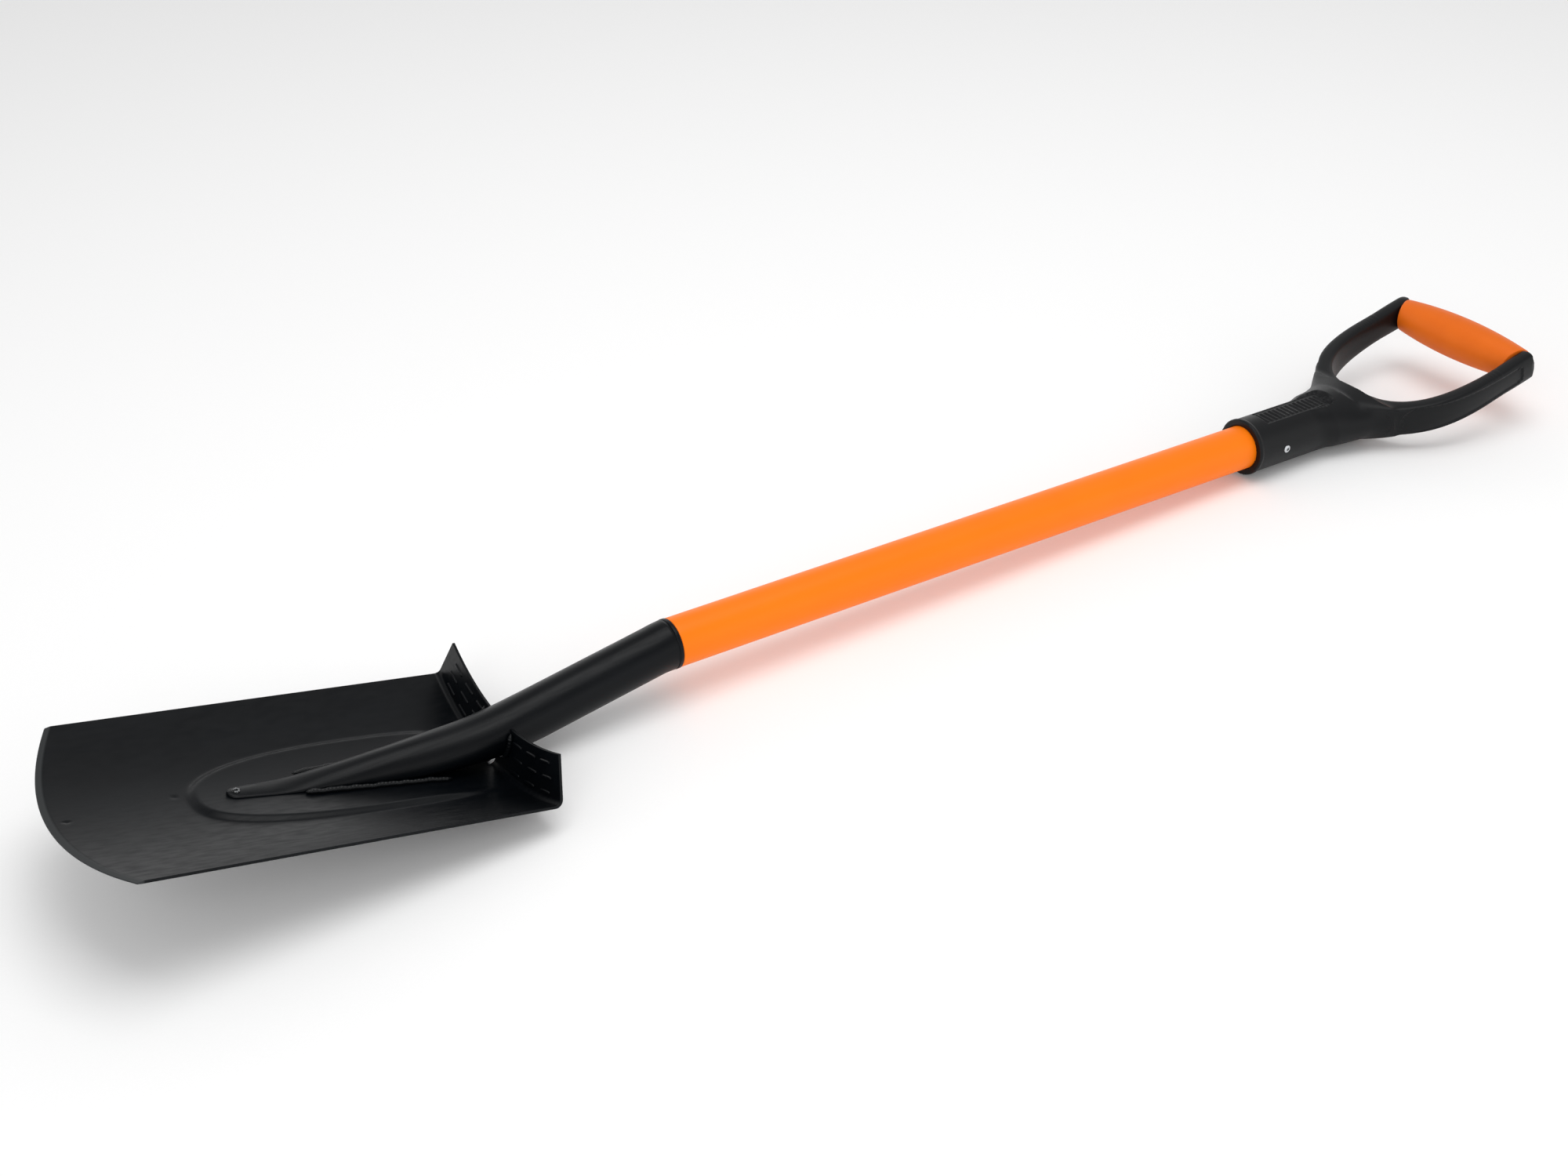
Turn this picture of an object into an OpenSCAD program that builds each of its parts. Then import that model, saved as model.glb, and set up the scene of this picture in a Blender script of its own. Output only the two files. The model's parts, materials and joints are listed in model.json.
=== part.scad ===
// D-handled steel digging spade, lying on its heel and the keel of its handle, the blade's hollow up.
// +X runs from the cutting edge to the grip, +Z is up, Y = 0 is the plane of symmetry, and the
// origin is the bottom centre of the whole tool.  Blade, neck and treads are drawn in the blade's
// own frame (x = 0 at the tip corners, z = 0 on the hollow face's centre line); shaft and handle
// are drawn along the shaft (x = 0 at the mouth of the neck).  place() and on_shaft() carry them
// into the lying pose.

/* [Blade] */
// Length from the tip corners to the folded treads
blade_len = 286.6; // [220:0.1:340]
// Width across the tip corners
tip_w = 191; // [150:1:230]
// Width across the rear, at the treads
rear_w = 193; // [150:1:230]
// Rise of the long edges above the centre line at the tip
tip_dish = 13.4; // [5:0.1:25]
// Rise of the long edges above the centre line at the rear
rear_dish = 21; // [8:0.1:32]
// How far the middle of the cutting edge stands ahead of its corners
edge_bow = 25.2; // [8:0.1:40]
// Thickness of the sheet
sheet = 2; // [1.2:0.1:3]
// Width of the bevel ground on the hollow side of the cutting edge
bevel_w = 4; // [2:0.5:8]
// Thickness left at the cutting edge
edge_t = 0.8; // [0.4:0.1:1.2]

/* [Raised panel] */
// Height of the pressed panel round the tongue
panel_h = 3; // [1:0.1:4]
// How far the panel's nose lies ahead of the tongue's tip
panel_lead = 22; // [10:0.1:40]
// Half width of the panel at its widest
panel_half_w = 45; // [30:1:60]
// Width of the slope round the panel
panel_slope = 8; // [5:0.5:12]

/* [Treads] */
// Height of the folded treads, along the sheet
tread_h = 35; // [25:0.5:45]
// Inner radius of the fold
fold_r = 4; // [3:0.5:8]
// Gap between a tread's inner end and the neck
tread_gap = 0.6; // [0.3:0.1:2]

/* [Neck] */
// Outer radius of the neck tube
neck_r = 18.6; // [15:0.1:23]
// Wall of the neck tube
neck_wall = 2; // [1.2:0.1:3]
// Slope of the neck above the blade, degrees
neck_slope = 23.7; // [20:0.1:28]
// Length of the flattened tongue ahead of the treads
tongue_len = 196; // [160:1:210]
// Length over which the tongue widens to the full tube
taper_len = 147; // [120:1:155]
// Rise of the tongue's ridge, degrees
ridge_slope = 12.7; // [10:0.1:15]
// Distance from the tongue's tip to where its ridge starts to rise
ridge_start = 40; // [30:1:50]
// Half width of the tongue at its tip
tongue_tip_w = 6.2; // [5:0.1:8]
// Thickness of the pressed tongue at its tip
tongue_t = 2.4; // [1.6:0.1:3.5]
// How far the lip at the neck's mouth stands out past the coated shaft
lip_over = 0.4; // [0.1:0.1:1.5]
// Length of the bead at the neck's mouth
lip_len = 3.4; // [2:0.1:6]
// Length of the neck's reduced end inside the shaft
spigot_len = 70; // [40:1:100]

/* [Shaft] */
// Slope of the shaft against the blade, degrees
lift = 13.5; // [11:0.1:16]
// Distance from the treads to the mouth of the neck, along the blade
neck_reach = 134.2; // [120:0.1:180]
// Outer radius over the coating
shaft_r = 19; // [15:0.1:23]
// Thickness of the plastic coating
coat_t = 1; // [0.6:0.1:2]
// Wall of the steel tube
tube_wall = 1.6; // [1.2:0.1:2.5]
// Length of the tube from the neck's mouth to its end in the handle
shaft_len = 682; // [450:1:900]

/* [Handle] */
// Wall of the socket around the shaft
socket_wall = 5.2; // [4:0.1:8]
// Depth of the recess in the socket's upper side
recess_depth = 3; // [0.5:0.1:3.5]
// Length of shaft held in the socket
socket_depth = 108; // [80:1:140]
// Tilt of the hand ring against the shaft, degrees
ring_tilt = 13.4; // [0:0.1:18]
// Distance from the shaft's end to where the ring's plane crosses the shaft's axis
ring_root = 13; // [8:0.5:20]
// Distance from there to the grip's axis, along the ring
grip_reach = 155; // [135:1:185]
// Distance from there to the bottom of the hand hole
crotch = 24.5; // [14:0.5:30]
// Half width of the ring, to the middle of an arm at the grip
arm_y = 72; // [58:0.5:88]
// Half thickness of an arm across the ring
arm_w = 7.8; // [6:0.1:12]
// Half height of an arm at the grip
arm_h = 13.2; // [10:0.1:17]
// Half height of an arm where it meets the grip's end
arm_end_h = 14.7; // [10:0.1:18]
// Half height of an arm at the yoke
yoke_h = 23.5; // [16:0.1:26]
// Radius of the grip at its middle
grip_r = 19.4; // [15:0.1:22]
// Radius of the grip at its ends
grip_end_r = 13.6; // [12:0.1:18]
// How far the grip's cover stops short of the arms' middle lines, on its axis
grip_short = 6; // [2:0.5:12]
// Radius of the ring's outer corners
corner_r = 12; // [4:0.5:16]
// Radius of the cross bar inside the grip
bar_r = 10.5; // [8:0.1:12]
// Distance from the socket's mouth to the rivets
rivet_inset = 32; // [25:1:60]

/* [Fasteners] */
// Radius of the blind rivets' bodies
rivet_r = 1.6; // [1.4:0.1:3.2]
// Radius of the blind rivets' heads
rivet_head_r = 3.3; // [3.2:0.1:6.5]
// Radius of the tongue rivet
tongue_rivet_r = 3; // [2:0.1:4]
// Radius of the hole through the tongue rivet
tongue_rivet_bore = 1.2; // [0.6:0.1:2]
// Radius of the weld beads
bead_r = 2; // [1.5:0.1:3]

/* [Fits] */
// Radial clearance between pieces that slide into each other
clearance = 0.1; // [0.05:0.05:0.3]

/* [Hidden] */
$fn = 64;

black = "#17181c";
orange = "#f58220";
steel = "#c8ccd0";

// A straight line that turns in a parabola: 0 before the bend, x - at after it.
function bend(x, at, half) = x < at - half ? 0 : x > at + half ? x - at : (x - at + half) ^ 2 / (4 * half);
function mix(a, b, t) = a + (b - a) * t;
function clamp01(t) = min(1, max(0, t));
function smooth(t) = let (c = clamp01(t)) c * c * (3 - 2 * c);

// --- blade surface -------------------------------------------------------
// Half width and edge rise at a distance x from the tip corners.
function half_w(x) = mix(tip_w, rear_w, clamp01(x / blade_len)) / 2;
function rise(x) = mix(tip_dish, rear_dish, clamp01(x / blade_len));
// Height of the pressed panel: a long egg that fades out towards the treads.
panel_nose = blade_len - tongue_len - panel_lead;
panel_mid = panel_nose + 137;
panel_tail = blade_len - 8;
function panel_edge(x) = let (u = x < panel_mid ? (panel_mid - x) / (panel_mid - panel_nose)
                                                : (x - panel_mid) / (panel_tail - panel_mid) / 1.6)
    u >= 1 ? 0 : panel_half_w * (1 - u ^ 2.5) ^ 0.4;
function panel(x, y) = let (edge = panel_edge(x), tail = 1 - smooth((x - panel_tail + 60) / 60))
    panel_h * tail * smooth((edge - abs(y)) / panel_slope + 0.5)
    * smooth((x - panel_nose) / panel_slope + 0.5);
function hollow(x, y) = rise(x) * (y / half_w(x)) ^ 2;

// The cutting edge bows forward between its corners.
function edge_x(v) = -edge_bow * (1 - v * v);
fold_start = blade_len - fold_r;
fold_arc = fold_r * PI / 2;
function fold_turn(u) = clamp01((u - fold_start) / fold_arc) * 90;
function lean(x, y) = atan(2 * hollow(x, y) / (y == 0 ? 1 : y));
// Depth ground away at the cutting edge.
function ground(u, v) = (sheet - edge_t) * (1 - clamp01((u - edge_x(v)) / bevel_w));
// A point of the hollow face at fraction v of the half width: u runs from the cutting edge over
// the floor to the fold, round it and up the tread, which stands square to the dished floor.
function face_point(u, v) =
    let (y = v * half_w(u), z = hollow(u, y) + panel(u, y) - ground(u, v), tilt = lean(blade_len, y),
         turn = fold_turn(u), up = fold_r * (1 - cos(turn)) + max(0, u - fold_start - fold_arc))
    u <= fold_start ? [u, y, z] : [fold_start + fold_r * sin(turn), y - up * sin(tilt), z + up * cos(tilt)];
// The far side of the sheet.
function back_point(u, v) =
    let (y = v * half_w(u), tilt = lean(min(u, blade_len), y), turn = fold_turn(u), t = sheet - ground(u, v))
    face_point(u, v) + t * [sin(turn), sin(tilt) * cos(turn), -cos(tilt) * cos(turn)];

// Half width of the relief slot between the treads: it follows the neck tube up to its widest.
slot_min = 2.5;
function slot(z) = let (r = neck_r + tread_gap, drop = max(0, axis_z(blade_len) - z))
    max(slot_min, r > drop ? sqrt(r * r - drop * drop) : 0);

// --- neck path -----------------------------------------------------------
// The underside leaves the panel along a bend and then climbs at the neck's slope; the ridge
// climbs gently from the tongue's tip and joins the top of the round tube.  All sections are
// ellipses whose upper and lower halves may differ in height.
slope_tan = tan(neck_slope);
ridge_tan = tan(ridge_slope);
lift_tan = tan(lift);
tip_x = blade_len - tongue_len;
liftoff_x = blade_len - 1;
liftoff_half = 38;
ridge_x = tip_x + ridge_start;
tube_h = neck_r / cos(neck_slope);
crest_x = (tongue_t - ridge_tan * ridge_x + slope_tan * liftoff_x - 2 * tube_h) / (slope_tan - ridge_tan);
crest_half = 20;
knee_half = 7.2;
mouth_x = blade_len + neck_reach;
knee_x = mouth_x - knee_half;
function under_z(x) = panel_h + slope_tan * bend(x, liftoff_x, liftoff_half);
function crest_z(x) = panel_h + tongue_t + ridge_tan * bend(x, ridge_x, 12)
    + (slope_tan - ridge_tan) * bend(x, crest_x, crest_half);
function knee_drop(x) = (slope_tan - lift_tan) * bend(x, knee_x, knee_half);
// The widest point of a section: low on the tongue, half way up on the tube.
function waist(x) = mix(0.15, 0.5, smooth((x - blade_len + 90) / 90));
function axis_z(x) = mix(under_z(x), crest_z(x), waist(x)) - knee_drop(x);
function tongue_w(x) = let (t = clamp01((x - tip_x) / tongue_tip_w))
    (neck_r - (neck_r - tongue_tip_w) / taper_len * bend(-x, -tip_x - taper_len, 20)) * sqrt(1 - (1 - t) ^ 2);
function path_slope(x) = atan(mix(slope_tan, lift_tan, clamp01((x - knee_x + knee_half) / (2 * knee_half))));
function ring_lean(x) = path_slope(x) * smooth((x - blade_len - 30) / (knee_x - knee_half - blade_len - 30));
neck_sides = 36;
// A ring of the neck at x, shrunk inwards by inset.
function neck_ring(x, inset = 0) =
    let (t = ring_lean(x), stretch = cos(path_slope(x)) / cos(path_slope(x) - t), z = axis_z(x),
         up = (crest_z(x) - knee_drop(x) - z - inset) * stretch,
         down = (z - under_z(x) + knee_drop(x) - inset) * stretch, w = tongue_w(x) - inset)
    [for (k = [0:neck_sides - 1]) let (a = k * 360 / neck_sides, h = (sin(a) > 0 ? up : down) * sin(a))
        [x - h * sin(t), w * cos(a), z + h * cos(t)]];
// A round ring square to the shaft's axis, s beyond the neck's mouth.
mouth_z = axis_z(mouth_x);
function shaft_ring(s, r) = [for (k = [0:neck_sides - 1]) let (a = k * 360 / neck_sides, h = r * sin(a))
    [mouth_x + s * cos(lift) - h * sin(lift), r * cos(a), mouth_z + s * sin(lift) + h * cos(lift)]];

// --- shaft and handle ----------------------------------------------------
tube_r = shaft_r - coat_t;
bore_r = tube_r - tube_wall;
spigot_r = bore_r - clearance;
socket_r = shaft_r + clearance + socket_wall;
lip_r = shaft_r + lip_over;
mouth_s = shaft_len - socket_depth;
rivet_s = mouth_s + rivet_inset;
ring_s = shaft_len + ring_root;
hole_half = arm_y - arm_w;
hole_top = grip_reach - 30;
hole_power = 2.8;
mitre_angle = atan(0.3);
grip_half = arm_y - grip_short;

// --- lying pose ----------------------------------------------------------
// The tool rests on the rounded heel under the treads and on the keel, the underside of the
// socket at the shaft's end: the pitch brings both down to the floor.
heel_r = fold_r + sheet;
heel_z = fold_r + hollow(blade_len, slot_min);
keel_x = mouth_x + shaft_len * cos(lift) + socket_r * sin(lift);
keel_z = mouth_z + shaft_len * sin(lift) - socket_r * cos(lift);
span = norm([keel_x - fold_start, keel_z - heel_z]);
pitch = atan2(keel_z - heel_z, keel_x - fold_start) + asin(heel_r / span);
grip_x = mouth_x + ring_s * cos(lift) + grip_reach * cos(lift + ring_tilt);
grip_z = mouth_z + ring_s * sin(lift) + grip_reach * sin(lift + ring_tilt);
function turned(x, z) = [x * cos(pitch) + z * sin(pitch), -x * sin(pitch) + z * cos(pitch)];
floor_z = turned(fold_start, heel_z)[1] - heel_r;
front_x = turned(-edge_bow, -sheet)[0];
back_x = turned(grip_x, grip_z)[0] + grip_r;

module place() {
    translate([-(front_x + back_x) / 2, 0, -floor_z]) rotate([0, pitch, 0]) children();
}
module on_shaft(s = 0) {
    place() translate([mouth_x, 0, mouth_z]) rotate([0, -lift, 0]) translate([s, 0, 0]) children();
}
// The ring's frame: X from the shaft's axis to the grip, Z square to the ring.
module on_ring() {
    on_shaft(ring_s) rotate([0, -ring_tilt, 0]) children();
}
// A cylinder along +X.
module rod(r, len) {
    rotate([0, 90, 0]) cylinder(r = r, h = len);
}
// Closed skin over rings of points, which run round the path as the fingers of a right hand do.
module skin(rings) {
    n = len(rings[0]);
    m = len(rings);
    sides = [for (k = [0:m - 2], j = [0:n - 1]) let (a = k * n + j, b = k * n + (j + 1) % n)
        each [[a, b + n, b], [a, a + n, b + n]]];
    caps = [[for (j = [0:n - 1]) j], [for (j = [n - 1:-1:0]) (m - 1) * n + j]];
    polyhedron([for (ring = rings) each ring], concat(sides, caps), convexity = 10);
}

// --- pieces --------------------------------------------------------------
// One pressed sheet.  Columns run across it and rows along it; the middle columns stop at the
// fold, which leaves the slot for the neck between the two treads.
floor_cols = 14;
slot_cols = 3;
cols = 2 * (floor_cols + slot_cols);
floor_rows = 28;
fold_rows = 4;
tread_rows = 5;
tread_top = fold_start + fold_arc + tread_h - fold_r;
first_fold = 1 + floor_rows;
row_total = first_fold + 1 + fold_rows + tread_rows;
function row_u(i, v) =
    let (b = i - first_fold, c = b - fold_rows)
    i == 0 ? edge_x(v)
    : b <= 0 ? mix(edge_x(v) + bevel_w, fold_start, (i - 1) / floor_rows)
    : c <= 0 ? fold_start + fold_arc * b / fold_rows
    : mix(fold_start + fold_arc, tread_top, c / tread_rows);
// The slot's half width as a fraction of the half width of the sheet, at a row.
function slot_v(u) = slot(max(0, u - fold_start - fold_arc + fold_r)) / half_w(u);
function col_v(i, j) =
    let (k = j - cols / 2, side = sign(k), n = abs(k), s = slot_v(row_u(i, 0.5)))
    side * (n <= slot_cols ? s * n / slot_cols : mix(s, 1, (n - slot_cols) / floor_cols));
module sheet_metal() {
    rows = row_total;
    wide = cols + 1;
    grid = [for (i = [0:rows - 1], j = [0:cols]) let (v = col_v(i, j)) [row_u(i, v), v]];
    front = [for (g = grid) face_point(g[0], g[1])];
    back = [for (g = grid) back_point(g[0], g[1])];
    size = rows * wide;
    function solid_cell(i, j) = i >= 0 && i < rows - 1 && j >= 0 && j < cols
        && (i < first_fold || abs(j + 0.5 - cols / 2) > slot_cols);
    function quad(a, b, c, d) = [[a, b, c], [a, c, d]];
    faces = [for (i = [0:rows - 2], j = [0:cols - 1]) if (solid_cell(i, j))
        let (a = i * wide + j, b = a + 1, c = b + wide, d = a + wide)
        each concat(quad(a, b, c, d), quad(size + d, size + c, size + b, size + a),
            solid_cell(i - 1, j) ? [] : quad(size + a, size + b, b, a),
            solid_cell(i + 1, j) ? [] : quad(size + c, size + d, d, c),
            solid_cell(i, j - 1) ? [] : quad(size + d, size + a, a, d),
            solid_cell(i, j + 1) ? [] : quad(size + b, size + c, c, b))];
    polyhedron(concat(front, back), faces, convexity = 10);
}
rivet_x = tip_x + tongue_tip_w;
module blade() {
    color(black) place() difference() {
        sheet_metal();
        translate([rivet_x, 0, -sheet - 1]) cylinder(r = tongue_rivet_r - 1, h = sheet + panel_h + 2);
    }
}
module neck() {
    tip_rings = [for (a = [12, 35, 60, 90]) tip_x + tongue_tip_w * (1 - cos(a))];
    body_rings = [for (k = [1:23]) mix(tip_x + tongue_tip_w, knee_x - knee_half, k / 23)];
    knee_rings = [for (k = [1:3]) knee_x - knee_half + k * (2 * knee_half - lip_len) / 3];
    inner_rings = [for (k = [0:7]) mix(mouth_x - 8, blade_len - 70, k / 7)];
    inner_end = spigot_r - neck_wall;
    outer = [for (x = concat(tip_rings, body_rings, knee_rings)) neck_ring(x)];
    lip = [shaft_ring(-0.8 * lip_len, lip_r), shaft_ring(-0.1, lip_r),
           shaft_ring(0, lip_r - 0.3), shaft_ring(0, spigot_r)];
    spigot = [shaft_ring(spigot_len - 2, spigot_r), shaft_ring(spigot_len, spigot_r - 1),
              shaft_ring(spigot_len, inner_end), shaft_ring(0, inner_end)];
    inner = [for (x = inner_rings) neck_ring(x, neck_wall)];
    color(black) place() difference() {
        skin(concat(outer, lip, spigot, inner));
        translate([rivet_x, 0, 0]) cylinder(r = tongue_rivet_r - 1, h = panel_h + tongue_t + 2);
    }
}
// A tubular rivet through tongue and sheet: flanged on the hollow side and flared behind.
module tongue_rivet() {
    shank = tongue_rivet_r - 1 - clearance;
    top = panel_h + tongue_t;
    color(steel) place() translate([rivet_x, 0, 0]) difference() {
        union() {
            translate([0, 0, top]) cylinder(r1 = tongue_rivet_r, r2 = tongue_rivet_r - 0.8, h = 0.9);
            translate([0, 0, panel_h - sheet]) cylinder(r = shank, h = sheet + tongue_t + 0.1);
            translate([0, 0, panel_h - sheet - 0.7])
                cylinder(r1 = tongue_rivet_r - 0.6, r2 = tongue_rivet_r, h = 0.7);
        }
        translate([0, 0, -sheet - 2]) cylinder(r = tongue_rivet_bore, h = sheet + top + 5);
    }
}
// A weld bead along a list of points, round in section and slightly rippled.
bead_sides = 8;
module bead(path) {
    last = len(path) - 1;
    skin([for (k = [0:last])
        let (ahead = path[min(k + 1, last)] - path[max(k - 1, 0)], t = ahead / norm(ahead),
             c = cross([0, 1, 0], t), a = c / norm(c), b = cross(t, a),
             r = bead_r * (k == 0 || k == last ? 0.45 : 0.9 + 0.1 * (k % 2)))
        [for (j = [0:bead_sides - 1])
            let (g = j * 360 / bead_sides) path[k] + r * (cos(g) * a + sin(g) * b)]]);
}
// The bead in the corner between the tongue's edge and the raised panel.
weld_from = tip_x + 50;
weld_to = blade_len - 42;
weld_steps = 16;
module tongue_weld(side) {
    color(black) place() bead([for (k = [0:weld_steps])
        let (x = mix(weld_from, weld_to, k / weld_steps), y = tongue_w(x) + bead_r + 0.3)
        [x, side * y, hollow(x, y) + panel(x, y) + bead_r + 0.15]]);
}
module tongue_weld_left() tongue_weld(1);
module tongue_weld_right() tongue_weld(-1);
// The bead between a tread's inner end and the side of the neck, on the tread's front face.
tread_weld_steps = 7;
module tread_weld(side) {
    low = axis_z(blade_len) - neck_r + 4.6;
    high = tread_h + 1;
    color(black) place() bead([for (k = [0:tread_weld_steps])
        let (z = mix(low, high, k / tread_weld_steps))
        [blade_len - bead_r - 0.3, side * (slot(z) - tread_gap + bead_r + 0.5), z]]);
}
module tread_weld_left() tread_weld(1);
module tread_weld_right() tread_weld(-1);

// Holes for the two blind rivets, right across the shaft.
module rivet_holes(s) {
    translate([s, 0, 0]) rotate([90, 0, 0])
        cylinder(r = rivet_r + clearance, h = 4 * socket_r, center = true);
}
module shaft_tube() {
    color(steel) on_shaft() difference() {
        translate([clearance, 0, 0]) rod(tube_r, shaft_len - clearance);
        translate([-1, 0, 0]) rod(bore_r, shaft_len + 2);
        rivet_holes(rivet_s);
    }
}
module shaft_coating() {
    color(orange) on_shaft() difference() {
        translate([clearance, 0, 0]) rod(shaft_r, shaft_len - clearance);
        translate([-1, 0, 0]) rod(tube_r, shaft_len + 2);
        rivet_holes(rivet_s);
    }
}

// The hand ring: a bow of rounded sections that follows the hand hole, from one arm's end to the other's.
ring_sides = 20;
bow_angles = [for (a = [-90:10:90]) a];
arm_shape = 2.6;
web_w = 10;
function hole_point(a) = [hole_top - (hole_top - crotch) * cos(a) ^ (2 / hole_power),
                          sign(a) * hole_half * abs(sin(a)) ^ (2 / hole_power)];
function hole_normal(a) = let (u = cos(a) ^ (2 / hole_power), v = abs(sin(a)) ^ (2 / hole_power),
    g = [-u ^ (hole_power - 1) / (hole_top - crotch), sign(a) * v ^ (hole_power - 1) / hole_half])
    g / norm(g);
function bow_h(x) = arm_h + (yoke_h - arm_h) * clamp01((hole_top - x) / (hole_top - crotch)) ^ 1.2;
function round_box(g, w, h) = [sign(cos(g)) * w * abs(cos(g)) ^ (2 / arm_shape),
                               sign(sin(g)) * h * abs(sin(g)) ^ (2 / arm_shape)];
function bow_ring(a) =
    let (p = hole_point(a), n = hole_normal(a), w = mix(web_w, arm_w, clamp01(abs(a) / 40)), h = bow_h(p[0]))
    [for (k = [0:ring_sides - 1]) let (q = round_box(k * 360 / ring_sides, w, h), c = p + (w + q[0]) * n)
        [c[0], c[1], q[1]]];
function arm_ring(side, x, h) =
    [for (k = [0:ring_sides - 1]) let (q = round_box(k * 360 / ring_sides, arm_w, h))
        [x, side * (arm_y + q[0]), q[1]]];
module hand_bow() {
    arm_end = grip_reach + grip_end_r;
    skin(concat([arm_ring(-1, arm_end, arm_end_h), arm_ring(-1, hole_top + 8, arm_h)],
                [for (a = bow_angles) bow_ring(a)],
                [arm_ring(1, hole_top + 8, arm_h), arm_ring(1, arm_end, arm_end_h)]));
}
// Carries children to the plane in which the cover meets an arm: +Y points out of the ring there.
module at_mitre(side) {
    mirror([0, side > 0 ? 0 : 1, 0]) translate([grip_reach, grip_half, 0]) rotate([0, 0, mitre_angle])
        children();
}
// What is cut off the inner side of an arm to seat the cover's end.
module cover_seat(side) {
    at_mitre(side) translate([-15, -20, -2 * grip_r]) cube([60, 20, 4 * grip_r]);
}
// The yoke flares from the round socket to the bow's width and turns up into the ring's plane.
yoke_from = -52;
yoke_to = 10;
yoke_w = 42;
yoke_steps = 8;
module yoke() {
    skin([for (k = [0:yoke_steps])
        let (t = k / yoke_steps, x = mix(yoke_from, yoke_to, t), w = mix(socket_r - 0.4, yoke_w, t ^ 1.45),
             h = mix(socket_r - 0.4, yoke_h, smooth((x + 40) / 68)),
             middle = tan(ring_tilt) * bend(-x, 0, 30))
        [for (g = [0:ring_sides - 1]) let (a = g * 360 / ring_sides) [x, w * cos(a), h * sin(a) + middle]]]);
}
recess_half = 10.6;
recess_floor = socket_r - recess_depth;
recess_from = 18;
recess_len = 80;
// What is cut away to round an outer corner of the ring, seen square to it.
module corner_cut(side) {
    edge_s = grip_reach + grip_end_r;
    edge_y = arm_y + arm_w;
    translate([edge_s - corner_r, side * (edge_y - corner_r), -2 * grip_r]) difference() {
        translate([0, side > 0 ? 0 : -2 * corner_r, 0]) cube([2 * corner_r, 2 * corner_r, 4 * grip_r]);
        translate([0, 0, -1]) cylinder(r = corner_r, h = 4 * grip_r + 2);
    }
}
module handle_frame() {
    color(black) difference() {
        union() {
            on_shaft(mouth_s) rod(socket_r, socket_depth + 1);
            on_ring() difference() {
                hand_bow();
                cover_seat(1);
                cover_seat(-1);
            }
            on_ring() yoke();
            on_ring() translate([grip_reach, 0, 0]) rotate([90, 0, 0])
                cylinder(r = bar_r, h = 2 * arm_y, center = true);
        }
        on_shaft(mouth_s - 1) rod(shaft_r + clearance, socket_depth + 1);
        on_shaft() rivet_holes(rivet_s);
        on_shaft(mouth_s + recess_from) translate([0, -recess_half, recess_floor])
            cube([recess_len, 2 * recess_half, 10]);
        on_ring() corner_cut(1);
        on_ring() corner_cut(-1);
    }
}
// The soft cover of the cross bar: a barrel turned on the grip's axis, mitred to meet the arms.
barrel_steps = 12;
barrel_half = grip_half + 12;
module mitre_cut(side) {
    at_mitre(side) translate([-60, -clearance, -2 * grip_r]) cube([120, 60, 4 * grip_r]);
}
module grip_cover() {
    inside = bar_r + clearance;
    color(orange) on_ring() difference() {
        translate([grip_reach, 0, 0]) rotate([90, 0, 0]) rotate_extrude()
            polygon(concat([[inside, barrel_half], [inside, -barrel_half]],
                [for (k = [0:barrel_steps]) let (y = barrel_half * (2 * k / barrel_steps - 1))
                    [grip_r - (grip_r - grip_end_r) * (y / arm_y) ^ 2, y]]));
        mitre_cut(1);
        mitre_cut(-1);
        corner_cut(1);
        corner_cut(-1);
    }
}

// Blind rivets hold the socket to the shaft on both sides.
module on_rivet(side) {
    on_shaft(rivet_s) rotate([side * -90, 0, 0]) children();
}
module handle_rivets() {
    color(steel) for (side = [-1, 1]) on_rivet(side) difference() {
        union() {
            translate([0, 0, socket_r]) cylinder(r1 = rivet_head_r, r2 = rivet_head_r - 1.6, h = 1.3);
            translate([0, 0, bore_r - 3]) cylinder(r = rivet_r, h = socket_r - bore_r + 3.1);
            translate([0, 0, bore_r - 4.2]) cylinder(r = rivet_r + 0.7, h = 3.6);
        }
        translate([0, 0, bore_r - 5]) cylinder(r = rivet_r - 1, h = socket_r);
    }
}
// What stays of the rivets' mandrels inside their bodies.
module rivet_stems() {
    color(steel) for (side = [-1, 1]) on_rivet(side)
        translate([0, 0, bore_r - 5]) cylinder(r = rivet_r - 1 - clearance / 2, h = socket_r - bore_r + 5.6);
}

blade();
neck();
tongue_rivet();
tongue_weld_left();
tongue_weld_right();
tread_weld_left();
tread_weld_right();
shaft_tube();
shaft_coating();
handle_frame();
grip_cover();
handle_rivets();
rivet_stems();
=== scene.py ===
import json
import math
import bpy
import numpy as np
from mathutils import Matrix, Vector


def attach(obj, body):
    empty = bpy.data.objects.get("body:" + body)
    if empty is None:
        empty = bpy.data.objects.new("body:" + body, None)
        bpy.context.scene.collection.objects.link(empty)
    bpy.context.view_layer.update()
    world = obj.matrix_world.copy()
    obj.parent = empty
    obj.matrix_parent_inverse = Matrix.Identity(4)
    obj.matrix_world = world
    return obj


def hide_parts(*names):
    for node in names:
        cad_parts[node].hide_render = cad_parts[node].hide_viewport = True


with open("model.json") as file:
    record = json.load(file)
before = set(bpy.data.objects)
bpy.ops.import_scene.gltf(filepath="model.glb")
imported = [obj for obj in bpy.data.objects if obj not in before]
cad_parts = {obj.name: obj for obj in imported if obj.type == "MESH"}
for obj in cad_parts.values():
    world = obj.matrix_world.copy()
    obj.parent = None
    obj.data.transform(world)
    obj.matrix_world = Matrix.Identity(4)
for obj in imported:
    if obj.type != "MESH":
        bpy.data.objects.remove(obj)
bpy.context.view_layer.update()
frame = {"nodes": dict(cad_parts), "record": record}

# ---------------------------------------------------------------------------
# Camera: it comes first.  Place in metres, then heading from +Y towards +X, drop and roll in degrees.
# ---------------------------------------------------------------------------
EYE = (-0.8075, -1.0960, 0.8750)
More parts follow.
